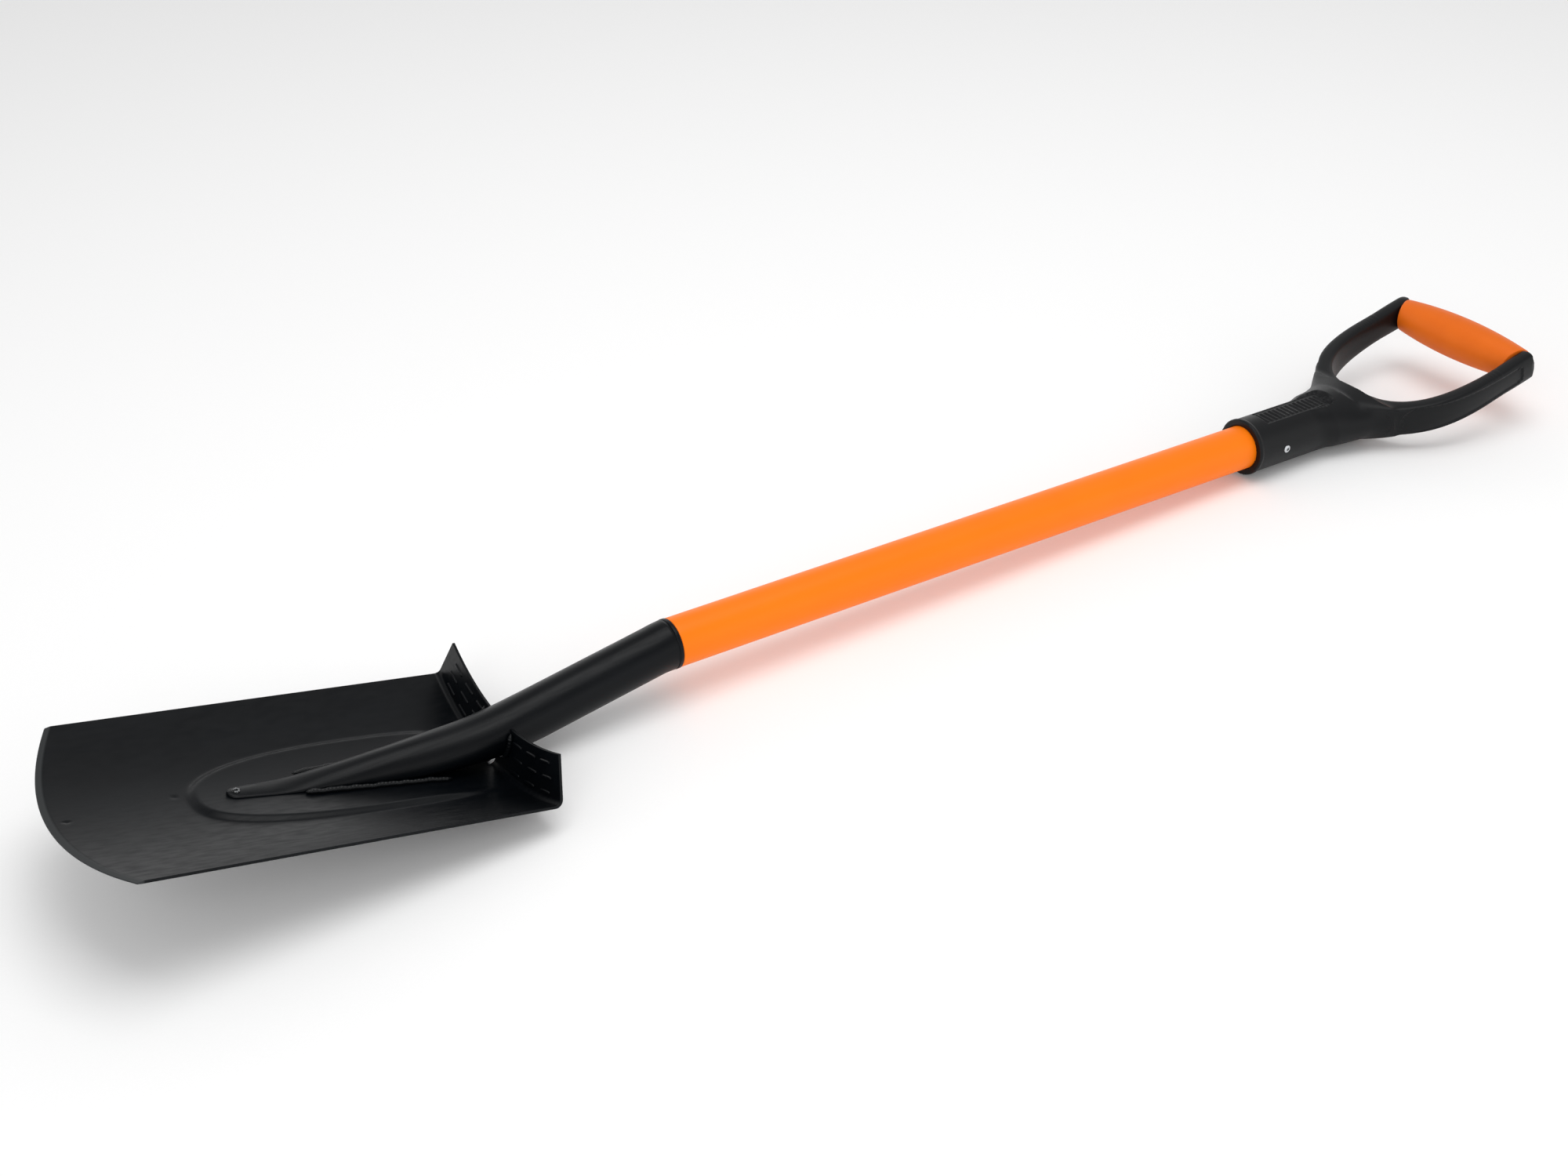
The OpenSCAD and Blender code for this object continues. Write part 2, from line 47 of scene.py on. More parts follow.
HEADING, DROP, ROLL = 32.58, 32.20, -1.483
LENS = 46.72


def add_camera():
    """A camera at EYE that looks along its heading, below the horizon by its drop."""
    data = bpy.data.cameras.new("camera")
    data.lens = LENS
    data.sensor_width = 36.0
    data.clip_end = 50.0
    camera = bpy.data.objects.new("camera", data)
    turn = (Matrix.Rotation(math.radians(-HEADING), 4, "Z")
            @ Matrix.Rotation(math.radians(90.0 - DROP), 4, "X")
            @ Matrix.Rotation(math.radians(ROLL), 4, "Z"))
    camera.matrix_world = Matrix.Translation(EYE) @ turn
    bpy.context.scene.collection.objects.link(camera)
    bpy.context.scene.camera = camera


add_camera()

# ---------------------------------------------------------------------------
# Sizes of the spade in millimetres, as in the part's design
# ---------------------------------------------------------------------------
MM = 0.001
BLADE_LEN, TIP_W, REAR_W = 286.6, 191.0, 193.0
TIP_DISH, REAR_DISH, EDGE_BOW = 13.4, 21.0, 25.2
SHEET, BEVEL_W, EDGE_T = 2.0, 4.0, 0.8
PANEL_H, PANEL_NOSE, PANEL_HALF_W, PANEL_SLOPE = 3.0, 68.6, 45.0, 6.0
PANEL_MID, PANEL_TAIL = PANEL_NOSE + 137.0, BLADE_LEN - 8.0
TREAD_H, FOLD_R, TREAD_GAP, SLOT_MIN = 35.0, 4.0, 0.6, 2.5
NECK_R, NECK_WALL, LIP_H, LIP_LEN = 18.6, 2.0, 0.8, 3.4
NECK_SLOPE, RIDGE_SLOPE, LIFT = 23.7, 12.7, 13.5
TONGUE_LEN, TAPER_LEN, RIDGE_START = 196.0, 147.0, 40.0
TONGUE_TIP_W, TONGUE_T, SPIGOT_LEN = 6.2, 2.4, 70.0
NECK_REACH, SHAFT_R, COAT_T, TUBE_WALL, SHAFT_LEN = 134.2, 19.0, 1.0, 1.6, 682.0
SOCKET_R, SOCKET_DEPTH, RING_ROOT, GRIP_REACH = 24.3, 108.0, 13.0, 155.0
CROTCH, ARM_Y, ARM_W, ARM_H, YOKE_H = 24.5, 72.0, 7.8, 13.2, 23.5
GRIP_R, GRIP_END_R, GRIP_HALF, CORNER_R = 19.4, 13.6, 66.0, 12.0
RIVET_INSET, RIVET_HEAD_R = 32.0, 3.3
TONGUE_RIVET_R, TONGUE_RIVET_BORE, BEAD_R, CLEARANCE = 3.0, 1.2, 2.0, 0.1
# Distance from the neck's mouth to the mount that marks the shaft's axis
HOLD_S = 270.0

MITRE_TAN = 0.3
# Half height of the arms beside the grip, how square their rounded ends are, and where along the
# ring the arms begin to grow to it and over what length
END_H, END_POWER, END_FROM, END_GROWTH = 14.7, 2.4, 105.0, 45.0
# How far the seats cut for the grip's ends reach back from the grip's axis
SEAT_BACK = 15.0
HOLE_TOP, HOLE_POWER, WEB_W, ARM_POWER = 125.0, 2.8, 10.0, 2.6
TAU = 2.0 * math.pi


# ---------------------------------------------------------------------------
# Small formulas on whole arrays
# ---------------------------------------------------------------------------
def mix(a, b, t):
    """The value a share t of the way from a to b."""
    return a + (b - a) * t


def smooth(t):
    """0 below 0, 1 above 1, and an S between them."""
    c = np.clip(t, 0.0, 1.0)
    return c * c * (3.0 - 2.0 * c)


def bend(x, at, half):
    """A straight line that turns in a parabola: 0 before the bend, x - at after it."""
    turning = (x - at + half) ** 2 / (4.0 * half)
    return np.where(x < at - half, 0.0, np.where(x > at + half, x - at, turning))


def soft_min(a, b, k):
    """The smaller of two fields, blended over a width k where they are close."""
    h = np.clip(0.5 + 0.5 * (b - a) / k, 0.0, 1.0)
    return mix(b, a, h) - k * h * (1.0 - h)


# ---------------------------------------------------------------------------
# Local frames: blade, shaft and hand ring, each turned about Y only
# ---------------------------------------------------------------------------
MOUNTS = {mount["name"]: mount for mount in frame["record"]["mounts"]}
SHAFT_AXIS = np.array(MOUNTS["shaft_hold"]["axis"])
RING_UP = np.array(MOUNTS["hand_hole_hook"]["axis"])
SHAFT_TURN = math.atan2(SHAFT_AXIS[2], SHAFT_AXIS[0])
RING_TURN = math.atan2(-RING_UP[0], RING_UP[2])
BLADE_TURN = SHAFT_TURN - math.radians(LIFT)
MOUTH = np.array(MOUNTS["shaft_hold"]["pos_m"]) / MM - HOLD_S * SHAFT_AXIS
RING_TILT = RING_TURN - SHAFT_TURN


class Frame:
    """A local frame: origin in millimetres, X turned up from the row's X by an angle."""

    def __init__(self, origin, turn):
        self.origin = np.asarray(origin, float)
        c, s = math.cos(turn), math.sin(turn)
        self.axes = np.array([[c, 0.0, s], [0.0, 1.0, 0.0], [-s, 0.0, c]])

    def out(self, points):
        """Local points to the row frame, in millimetres."""
        return self.origin + np.asarray(points, float) @ self.axes

    def into(self, points):
        """Row frame points to local ones, in millimetres."""
        return (np.asarray(points, float) - self.origin) @ self.axes.T


def stack(x, y, z):
    """Three arrays that broadcast together as one array of points."""
    return np.stack(np.broadcast_arrays(x, y, z), -1).astype(float)


# --- neck path, in the blade's frame ---------------------------------------
SLOPE_TAN, RIDGE_TAN, LIFT_TAN = (math.tan(math.radians(a)) for a in (NECK_SLOPE, RIDGE_SLOPE, LIFT))
TIP_X, LIFTOFF_X, LIFTOFF_HALF = BLADE_LEN - TONGUE_LEN, BLADE_LEN - 1.0, 38.0
RIDGE_X, TUBE_H = TIP_X + RIDGE_START, NECK_R / math.cos(math.radians(NECK_SLOPE))
CREST_X = (TONGUE_T - RIDGE_TAN * RIDGE_X + SLOPE_TAN * LIFTOFF_X - 2.0 * TUBE_H) / (SLOPE_TAN - RIDGE_TAN)
CREST_HALF, KNEE_HALF = 20.0, 7.2
MOUTH_X = BLADE_LEN + NECK_REACH
KNEE_X = MOUTH_X - KNEE_HALF


def under_z(x):
    """Height of the neck's underside: on the panel, then up at the neck's slope."""
    return PANEL_H + SLOPE_TAN * bend(x, LIFTOFF_X, LIFTOFF_HALF)


def crest_z(x):
    """Height of the tongue's ridge, which joins the top of the round tube."""
    return (PANEL_H + TONGUE_T + RIDGE_TAN * bend(x, RIDGE_X, 12.0)
            + (SLOPE_TAN - RIDGE_TAN) * bend(x, CREST_X, CREST_HALF))


def knee_drop(x):
    """How far the knee at the mouth has turned the path down."""
    return (SLOPE_TAN - LIFT_TAN) * bend(x, KNEE_X, KNEE_HALF)


def axis_z(x):
    """Height of a section's widest point: low on the tongue, half way up on the tube."""
    waist = mix(0.15, 0.5, smooth((x - BLADE_LEN + 90.0) / 90.0))
    return mix(under_z(x), crest_z(x), waist) - knee_drop(x)


def tongue_w(x):
    """Half width of the tongue: a round tip, a straight taper, then the tube."""
    t = np.clip((x - TIP_X) / TONGUE_TIP_W, 0.0, 1.0)
    taper = NECK_R - (NECK_R - TONGUE_TIP_W) / TAPER_LEN * bend(-x, -TIP_X - TAPER_LEN, 20.0)
    return taper * np.sqrt(1.0 - (1.0 - t) ** 2)


MOUTH_Z = float(axis_z(np.array(MOUTH_X)))
SHAFT = Frame(MOUTH, SHAFT_TURN)
BLADE = Frame(MOUTH, BLADE_TURN)
BLADE.origin = BLADE.out((-MOUTH_X, 0.0, -MOUTH_Z))
RING = Frame(SHAFT.out((SHAFT_LEN + RING_ROOT, 0.0, 0.0)), RING_TURN)


# ---------------------------------------------------------------------------
# Meshes
# ---------------------------------------------------------------------------
def sheet_faces(rows, cols, wrap=False):
    """Quads of a grid of rows by cols points, joined round the columns where wrap is set."""
    index = np.arange(rows * cols).reshape(rows, cols)
    if wrap:
        index = np.concatenate([index, index[:, :1]], 1)
    a, b, c, d = index[:-1, :-1], index[:-1, 1:], index[1:, 1:], index[1:, :-1]
    return np.stack([a, b, c, d], -1).reshape(-1, 4)


def outward(points, faces):
    """The faces turned over if the volume that they close comes out negative."""
    p = points[faces]
    volume = (np.einsum("ij,ij->i", p[:, 0], np.cross(p[:, 1], p[:, 2])).sum()
              + np.einsum("ij,ij->i", p[:, 0], np.cross(p[:, 2], p[:, 3])).sum())
    return faces[:, ::-1] if volume < 0 else faces


def make_piece(name, points, faces, caps=(), crease=35.0):
    """A mesh object from points in millimetres of the row frame, smooth but for creases."""
    mesh = bpy.data.meshes.new(name)
    mesh.from_pydata((points * MM).tolist(), [], faces.tolist() + [list(cap) for cap in caps])
    mesh.validate()
    mesh.shade_smooth()
    mesh.set_sharp_from_angle(angle=math.radians(crease))
    piece = bpy.data.objects.new(name, mesh)
    bpy.context.scene.collection.objects.link(piece)
    return piece


def closed_skin(name, rings, local, crease=35.0):
    """A closed skin over rings of points (rings, around, 3), with flat caps on its two ends."""
    rows, cols = rings.shape[:2]
    points = local.out(rings.reshape(-1, 3))
    centre = points - points.mean(0)
    sides = sheet_faces(rows, cols, wrap=True)
    turned = outward(centre, sides)
    first, last = list(range(cols)), list(range((rows - 1) * cols, rows * cols))
    flipped = not np.array_equal(turned, sides)
    caps = [first if flipped else first[::-1], last[::-1] if flipped else last]
    return make_piece(name, points, turned, caps, crease)


def revolved(name, profile, local, around=96, crease=35.0):
    """A closed ring profile of (along, radius) points, carried round the local X axis."""
    profile = np.asarray(profile, float)
    a = np.arange(around) * TAU / around
    x, r = profile[:, 0, None], profile[:, 1, None]
    rings = stack(x + 0 * a, r * np.cos(a), r * np.sin(a))
    rows, cols = rings.shape[:2]
    points = rings.reshape(-1, 3)
    faces = sheet_faces(rows + 1, cols, wrap=True) % len(points)
    return make_piece(name, local.out(points), outward(points - points.mean(0), faces), crease=crease)


def arc(centre, radius, start, stop, count=5):
    """Points of an arc in a profile, from one angle to another in degrees."""
    a = np.radians(np.linspace(start, stop, count))
    return [(centre[0] + radius * c, centre[1] + radius * s) for c, s in zip(np.cos(a), np.sin(a))]


def set_attribute(piece, name, values):
    """A number for each point of a piece, which its material reads."""
    layer = piece.data.attributes.new(name, "FLOAT", "POINT")
    layer.data.foreach_set("value", np.asarray(values, np.float32))


def apply_modifiers(piece):
    """Replaces a piece's mesh by what its modifiers make of it."""
    graph = bpy.context.evaluated_depsgraph_get()
    mesh = bpy.data.meshes.new_from_object(piece.evaluated_get(graph))
    piece.modifiers.clear()
    piece.data = mesh


def soften_edges(piece, width, segments=2, angle=50.0):
    """Rounds a piece's sharp edges by a small radius in millimetres."""
    bevel = piece.modifiers.new("edges", "BEVEL")
    bevel.width = width * MM
    bevel.segments = segments
    bevel.limit_method = "ANGLE"
    bevel.angle_limit = math.radians(angle)


# ---------------------------------------------------------------------------
# Blade
# ---------------------------------------------------------------------------
FOLD_START, FOLD_ARC = BLADE_LEN - FOLD_R, FOLD_R * math.pi / 2.0
TREAD_TOP = FOLD_START + FOLD_ARC + TREAD_H - FOLD_R
# Two small dents in the floor: place along and across, in the blade's frame
DENTS = ((59.3, 10.1), (-13.1, -1.3))
DENT_R, DENT_DEPTH = 2.6, 0.7


def half_w(x):
    """Half width of the blade: a straight taper."""
    return mix(TIP_W, REAR_W, np.clip(x / BLADE_LEN, 0.0, 1.0)) / 2.0


def hollow(x, y):
    """Height of the dished floor: a parabola across that deepens towards the treads."""
    rise = mix(TIP_DISH, REAR_DISH, np.clip(x / BLADE_LEN, 0.0, 1.0))
    return rise * (y / half_w(x)) ** 2


def panel(x, y):
    """Height of the pressed panel: an S-shaped slope along a long egg that fades to the rear."""
    ahead, behind = PANEL_MID - PANEL_NOSE, 1.6 * (PANEL_TAIL - PANEL_MID)
    reach = np.where(x < PANEL_MID, ahead, behind)
    u, v = np.abs(x - PANEL_MID) / reach, np.abs(y) / PANEL_HALF_W
    g = np.maximum((u ** 2.5 + v ** 2.5) ** 0.4, 1e-6)
    steep = np.hypot(u ** 1.5 / reach, v ** 1.5 / PANEL_HALF_W) / g ** 1.5
    inside = (1.0 - g) / np.maximum(steep, 1e-6)
    tail = 1.0 - smooth((x - PANEL_TAIL + 60.0) / 60.0)
    return PANEL_H * tail * smooth(inside / PANEL_SLOPE + 0.5)


def edge_x(v):
    """The cutting edge, bowed forward between its corners."""
    return -EDGE_BOW * (1.0 - v * v)


def ground(u, v):
    """Depth ground away towards the cutting edge, on the hollow side."""
    return (SHEET - EDGE_T) * (1.0 - np.clip((u - edge_x(v)) / BEVEL_W, 0.0, 1.0))


def lean(x, y):
    """Slope of the dished floor across the blade, as an angle."""
    safe = np.where(y == 0, 1.0, y)
    return np.arctan(2.0 * hollow(x, y) / safe)


def fold_turn(u):
    """Angle turned by the fold under the treads."""
    return np.clip((u - FOLD_START) / FOLD_ARC, 0.0, 1.0) * math.pi / 2.0


def dents(x, y):
    """Depth of the round dents."""
    depth = 0.0
    for at_x, at_y in DENTS:
        far = np.hypot(x - at_x, y - at_y) / DENT_R
        depth = depth + DENT_DEPTH * (1.0 - smooth(far))
    return depth


def face_point(u, v):
    """Hollow face: u runs from the edge over the floor to the fold, round it and up the tread."""
    y, turn = v * half_w(u), fold_turn(u)
    tilt = lean(np.full_like(y, BLADE_LEN), y)
    z = hollow(u, y) + panel(u, y) - ground(u, v) - dents(u, y)
    up = FOLD_R * (1.0 - np.cos(turn)) + np.maximum(0.0, u - FOLD_START - FOLD_ARC)
    x = np.where(u <= FOLD_START, u, FOLD_START + FOLD_R * np.sin(turn))
    return stack(x, y - up * np.sin(tilt), z + up * np.cos(tilt))


def back_point(u, v):
    """The far side of the sheet: the hollow face moved by the thickness along its normal."""
    y, turn = v * half_w(u), fold_turn(u)
    tilt = lean(np.minimum(u, BLADE_LEN), y)
    thick = SHEET - ground(u, v)
    normal = stack(np.sin(turn), np.sin(tilt) * np.cos(turn), -np.cos(tilt) * np.cos(turn))
    return face_point(u, v) + thick[..., None] * normal


def slot_half(z):
    """Half width of the slot between the treads: it follows the neck up to its widest."""
    r = NECK_R + TREAD_GAP
    drop = np.maximum(0.0, float(axis_z(np.array(BLADE_LEN))) - z)
    return np.maximum(SLOT_MIN, np.sqrt(np.maximum(0.0, r * r - drop * drop)))


BEVEL_ROWS, FLOOR_ROWS, FOLD_ROWS, TREAD_ROWS = 4, 176, 10, 20
SLOT_COLS, FLOOR_COLS = 8, 64


def build_blade():
    """One pressed sheet: two grids a thickness apart, joined round the rim and the slot.

    Rows run along the sheet from the ground edge to the top of the treads, columns across it;
    the middle columns stop at the fold, which leaves the slot for the neck.
    """
    n = np.arange(-SLOT_COLS - FLOOR_COLS, SLOT_COLS + FLOOR_COLS + 1)
    cols = len(n)
    bevel = np.linspace(0.0, 1.0, BEVEL_ROWS + 1)[:-1, None]
    floor = np.linspace(0.0, 1.0, FLOOR_ROWS + 1)[:, None]
    fold = FOLD_START + FOLD_ARC * np.linspace(0.0, 1.0, FOLD_ROWS + 1)[1:, None]
    tread = mix(FOLD_START + FOLD_ARC, TREAD_TOP, np.linspace(0.0, 1.0, TREAD_ROWS + 1)[1:, None])
    last_u = np.concatenate([np.zeros(BEVEL_ROWS + FLOOR_ROWS + 1), fold[:, 0], tread[:, 0]])
    slot = slot_half(np.maximum(0.0, last_u - FOLD_START - FOLD_ARC + FOLD_R)) / half_w(last_u)
    share = np.abs(n)
    inner = slot[:, None] * share / SLOT_COLS
    outer = mix(slot[:, None], 1.0, (share - SLOT_COLS) / FLOOR_COLS)
    v = np.sign(n) * np.where(share <= SLOT_COLS, inner, outer)
    top = BEVEL_ROWS + FLOOR_ROWS + 1
    edge = edge_x(v[:top])
    u = np.concatenate([edge[:BEVEL_ROWS] + bevel * BEVEL_W,
                        mix(edge[BEVEL_ROWS:] + BEVEL_W, FOLD_START, floor),
                        fold + 0 * n, tread + 0 * n])
    rows = len(u)
    points = BLADE.out(np.concatenate([face_point(u, v).reshape(-1, 3), back_point(u, v).reshape(-1, 3)]))
    i, j = np.mgrid[:rows - 1, :cols - 1]
    solid = (i < top - 1) | (np.abs(j + 0.5 - (cols - 1) / 2.0) > SLOT_COLS)
    ring = np.pad(solid, 1)
    a = i * cols + j
    b, d = a + 1, a + cols
    c, size = d + 1, rows * cols
    quads = [np.stack(q, -1)[keep] for q, keep in (
        ((a, b, c, d), solid),
        ((size + d, size + c, size + b, size + a), solid),
        ((size + a, size + b, b, a), solid & ~ring[:-2, 1:-1]),
        ((size + c, size + d, d, c), solid & ~ring[2:, 1:-1]),
        ((size + d, size + a, a, d), solid & ~ring[1:-1, :-2]),
        ((size + b, size + c, c, b), solid & ~ring[1:-1, 2:]))]
    faces = np.concatenate(quads)
    used, packed = np.unique(faces, return_inverse=True)
    faces = packed.reshape(-1, 4)
    # Share of lighter grey along the ground edge: partly edge wear, partly a painted highlight where the
    # bevel catches the light
    edge_wear_and_highlight = np.tile(1.0 - np.clip((u - edge_x(v)) / (1.4 * BEVEL_W), 0.0, 1.0).reshape(-1), 2)[used]
    faces = outward(points[used] - points.mean(0), faces)
    piece = make_piece("blade_sheet", points[used], faces, crease=30.0)
    set_attribute(piece, "edge_wear_and_highlight", edge_wear_and_highlight)
    soften_edges(piece, 0.35)
    return piece


# Anti-slip bars pressed up on the treads: length, width and height in millimetres, the rows'
# heights above the floor, and the places of the first bar and the next ones across.
BAR_SIZE = (13.0, 2.6, 0.8)
BAR_ROWS = (6.0, 16.5, 27.0)
BAR_FIRST, BAR_STEP, BARS_PER_ROW = 33.0, 21.5, 3


def build_tread_bars():
    """Low pads with round ends: each is a dome z = height (1 - r^4) over a stretched disc."""
    rings, around = 8, 28
    r = np.linspace(0.0, 1.0, rings + 1)[1:, None]
    a = np.arange(around) * TAU / around
    length, width, height = BAR_SIZE
    straight = (length - width) / 2.0
    along = r * (width / 2.0 * np.cos(a)) + straight * np.tanh(4.0 * r * np.cos(a))
    across = r * width / 2.0 * np.sin(a)
    dome = height * (1.0 - r ** 4) + 0 * a
    points, faces = [], []
    for side in (-1, 1):
        for row, above in enumerate(BAR_ROWS):
            for k in range(BARS_PER_ROW):
                y = BAR_FIRST + k * BAR_STEP + 2.5 * (row % 2)
                tilt = float(lean(np.array(BLADE_LEN), np.array(y)))
                base = float(hollow(np.array(BLADE_LEN), np.array(y)))
                yy = y + along * math.cos(tilt) - (above + across) * math.sin(tilt)
                zz = base + along * math.sin(tilt) + (above + across) * math.cos(tilt)
                pad = stack(BLADE_LEN - dome, side * yy, zz).reshape(-1, 3)
                skirt = pad[-around:] + (0.5, 0.0, 0.0)
                crown = np.array([[BLADE_LEN - height, side * (y - above * math.sin(tilt)),
                                   base + above * math.cos(tilt)]])
                crown = np.repeat(crown, around, 0)
                floor = np.repeat(skirt.mean(0)[None], around, 0)
                block = np.concatenate([crown, pad, skirt, floor])
                quads = sheet_faces(rings + 3, around, wrap=True)
                quads = outward(block - block.mean(0), quads)
                faces.append(quads + sum(len(p) for p in points))
                points.append(block)
    mesh = make_piece("tread_bars", BLADE.out(np.concatenate(points)), np.concatenate(faces), crease=60.0)
    weld = mesh.modifiers.new("crowns", "WELD")
    weld.merge_threshold = 0.01 * MM
    apply_modifiers(mesh)
    return mesh


# ---------------------------------------------------------------------------
# Neck
# ---------------------------------------------------------------------------
NECK_SIDES = 112


def neck_ring(x, inset=0.0):
    """Sections of the neck at x: ellipses whose upper and lower halves differ in height."""
    x = np.atleast_1d(np.asarray(x, float))[:, None]
    a = np.arange(NECK_SIDES) * TAU / NECK_SIDES
    slope = np.arctan(mix(SLOPE_TAN, LIFT_TAN, np.clip((x - KNEE_X + KNEE_HALF) / (2 * KNEE_HALF), 0.0, 1.0)))
    t = slope * smooth((x - BLADE_LEN - 30.0) / (KNEE_X - KNEE_HALF - BLADE_LEN - 30.0))
    stretch = np.cos(slope) / np.cos(slope - t)
    z = axis_z(x)
    up = (crest_z(x) - knee_drop(x) - z - inset) * stretch
    down = (z - under_z(x) + knee_drop(x) - inset) * stretch
    w = tongue_w(x) - inset
    h = np.where(np.sin(a) > 0, up, down) * np.sin(a)
    return stack(x - h * np.sin(t), w * np.cos(a), z + h * np.cos(t))


def mouth_ring(profile):
    """Round rings square to the shaft's axis, from (distance beyond the mouth, radius) pairs."""
    s, r = np.asarray(profile, float).T[:, :, None]
    a = np.arange(NECK_SIDES) * TAU / NECK_SIDES
    local = stack(s + 0 * a, r * np.cos(a), r * np.sin(a))
    return BLADE.into(SHAFT.out(local.reshape(-1, 3))).reshape(local.shape)


def build_neck():
    """A tube flattened into a tongue, with a rolled lip at its mouth and a spigot in the shaft."""
    tip = TIP_X + TONGUE_TIP_W * (1.0 - np.cos(np.radians(np.linspace(9.0, 90.0, 12))))
    body = np.linspace(tip[-1], KNEE_X - KNEE_HALF, 150)[1:]
    knee = np.linspace(KNEE_X - KNEE_HALF, MOUTH_X - LIP_LEN - 0.6, 20)[1:]
    spigot_r = SHAFT_R - COAT_T - TUBE_WALL - CLEARANCE
    lip_r = NECK_R + LIP_H
    lip = (arc((-LIP_LEN + 0.9, lip_r - 0.9), 0.9, 165.0, 90.0, 6)
           + arc((-0.7, lip_r - 0.7), 0.7, 90.0, 0.0, 6) + [(0.0, spigot_r)])
    inside = [(SPIGOT_LEN - 2.0, spigot_r), (SPIGOT_LEN, spigot_r - 1.0),
              (SPIGOT_LEN, spigot_r - NECK_WALL), (0.0, spigot_r - NECK_WALL)]
    back = np.linspace(MOUTH_X - 8.0, BLADE_LEN - 70.0, 24)
    rings = np.concatenate([neck_ring(np.concatenate([tip, body, knee])), mouth_ring(lip),
                            mouth_ring(inside), neck_ring(back, NECK_WALL)])
    return closed_skin("neck_tube", rings, BLADE, crease=40.0)


# ---------------------------------------------------------------------------
# Weld beads
# ---------------------------------------------------------------------------
# Distance between the ripples that a hand weld leaves
RIPPLE = 2.6
# How far the tongue's welds stop short of the tip and of the treads
WELD_AHEAD, WELD_BEHIND = 50.0, 42.0
# How far below the neck's middle height the welds on the treads begin
WELD_DROP = NECK_R - 4.6


def bead(name, path, wander, seed):
    """A round bead along a path, its radius rippled along it and its line wandering a little."""
    draw = np.random.default_rng(seed)
    step = np.linalg.norm(np.diff(path, axis=0), axis=1)
    along = np.concatenate([[0.0], np.cumsum(step)])
    ends = np.sqrt(np.clip(np.minimum(along, along[-1] - along) / 4.0, 0.03, 1.0))
    waves = sum(draw.uniform(0.4, 1.0) * np.sin(TAU * along / wave + draw.uniform(0.0, TAU))
                for wave in (9.0, 17.0, 31.0)) / 2.2
    radius = BEAD_R * ends * (0.9 + 0.09 * np.abs(np.sin(math.pi * along / RIPPLE)) + 0.1 * waves)
    ahead = np.gradient(path, axis=0)
    ahead /= np.linalg.norm(ahead, axis=1)[:, None]
    flat = np.cross((0.0, 1.0, 0.0), ahead)
    flat /= np.linalg.norm(flat, axis=1)[:, None]
    rise = np.cross(ahead, flat)
    a = np.arange(16) * TAU / 16
    centre = path + wander * waves[:, None] * rise
    rings = (centre[:, None] + radius[:, None, None]
             * (np.cos(a)[:, None] * flat[:, None] + np.sin(a)[:, None] * rise[:, None]))
    return closed_skin(name, rings, BLADE, crease=60.0)


def build_tongue_weld(name, side, seed):
    """The bead in the corner between the tongue's edge and the panel."""
    x = np.linspace(TIP_X + WELD_AHEAD, BLADE_LEN - WELD_BEHIND, 220)
    y = tongue_w(x) + BEAD_R + 0.1
    return bead(name, stack(x, side * y, hollow(x, y) + panel(x, y) + 0.7 * BEAD_R), 0.5, seed)


def build_tread_weld(name, side, seed):
    """The bead between a tread's inner end and the neck."""
    z = np.linspace(float(axis_z(np.array(BLADE_LEN))) - WELD_DROP, TREAD_H - 1.0, 70)
    y = side * (slot_half(z) - TREAD_GAP + BEAD_R + 0.3)
    return bead(name, stack(BLADE_LEN - 0.7 * BEAD_R, y, z), 0.25, seed)


# ---------------------------------------------------------------------------
# Shaft
# ---------------------------------------------------------------------------
def build_coating():
    """The plastic coat: a tube with softly rounded ends."""
    inner = SHAFT_R - COAT_T
    profile = (arc((0.6 + CLEARANCE, SHAFT_R - 0.5), 0.5, 180.0, 90.0)
               + [(s, SHAFT_R) for s in np.linspace(4.0, SHAFT_LEN - 4.0, 24)]
               + arc((SHAFT_LEN - 0.5, SHAFT_R - 0.5), 0.5, 90.0, 0.0)
               + [(SHAFT_LEN, inner), (CLEARANCE, inner)])
    return revolved("shaft_coat", profile, SHAFT, around=160)


# ---------------------------------------------------------------------------
# Handle
# ---------------------------------------------------------------------------
CORNER_S = GRIP_REACH + GRIP_END_R - CORNER_R
CORNER_Y = ARM_Y + ARM_W - CORNER_R


def hole_point(a):
    """The hand hole's edge in plan: a squared ellipse, from one grip end round to the other."""
    u, v = np.cos(a) ** (2.0 / HOLE_POWER), np.abs(np.sin(a)) ** (2.0 / HOLE_POWER)
    return np.stack([HOLE_TOP - (HOLE_TOP - CROTCH) * u, np.sign(a) * (ARM_Y - ARM_W) * v], -1)


# How far the yoke reaches back along the socket and forward into the bow, its half width there,
# and how its width grows
YOKE_LEN, YOKE_END, YOKE_W, YOKE_POWER = 52.0, 14.0, 43.0, 1.1
# Where the yoke's height starts to change and over what length, half the length over which its
# middle turns into the ring's plane, and the length over which its skin rises out of the socket
YOKE_FROM, YOKE_RISE, YOKE_TURN, YOKE_FADE = 40.0, 68.0, 30.0, 24.0
# Widths of the blends between arm and rounded end, bow and yoke, and socket and yoke
BLEND_END, BLEND_BOW, BLEND_SOCKET = 4.0, 12.0, 9.0


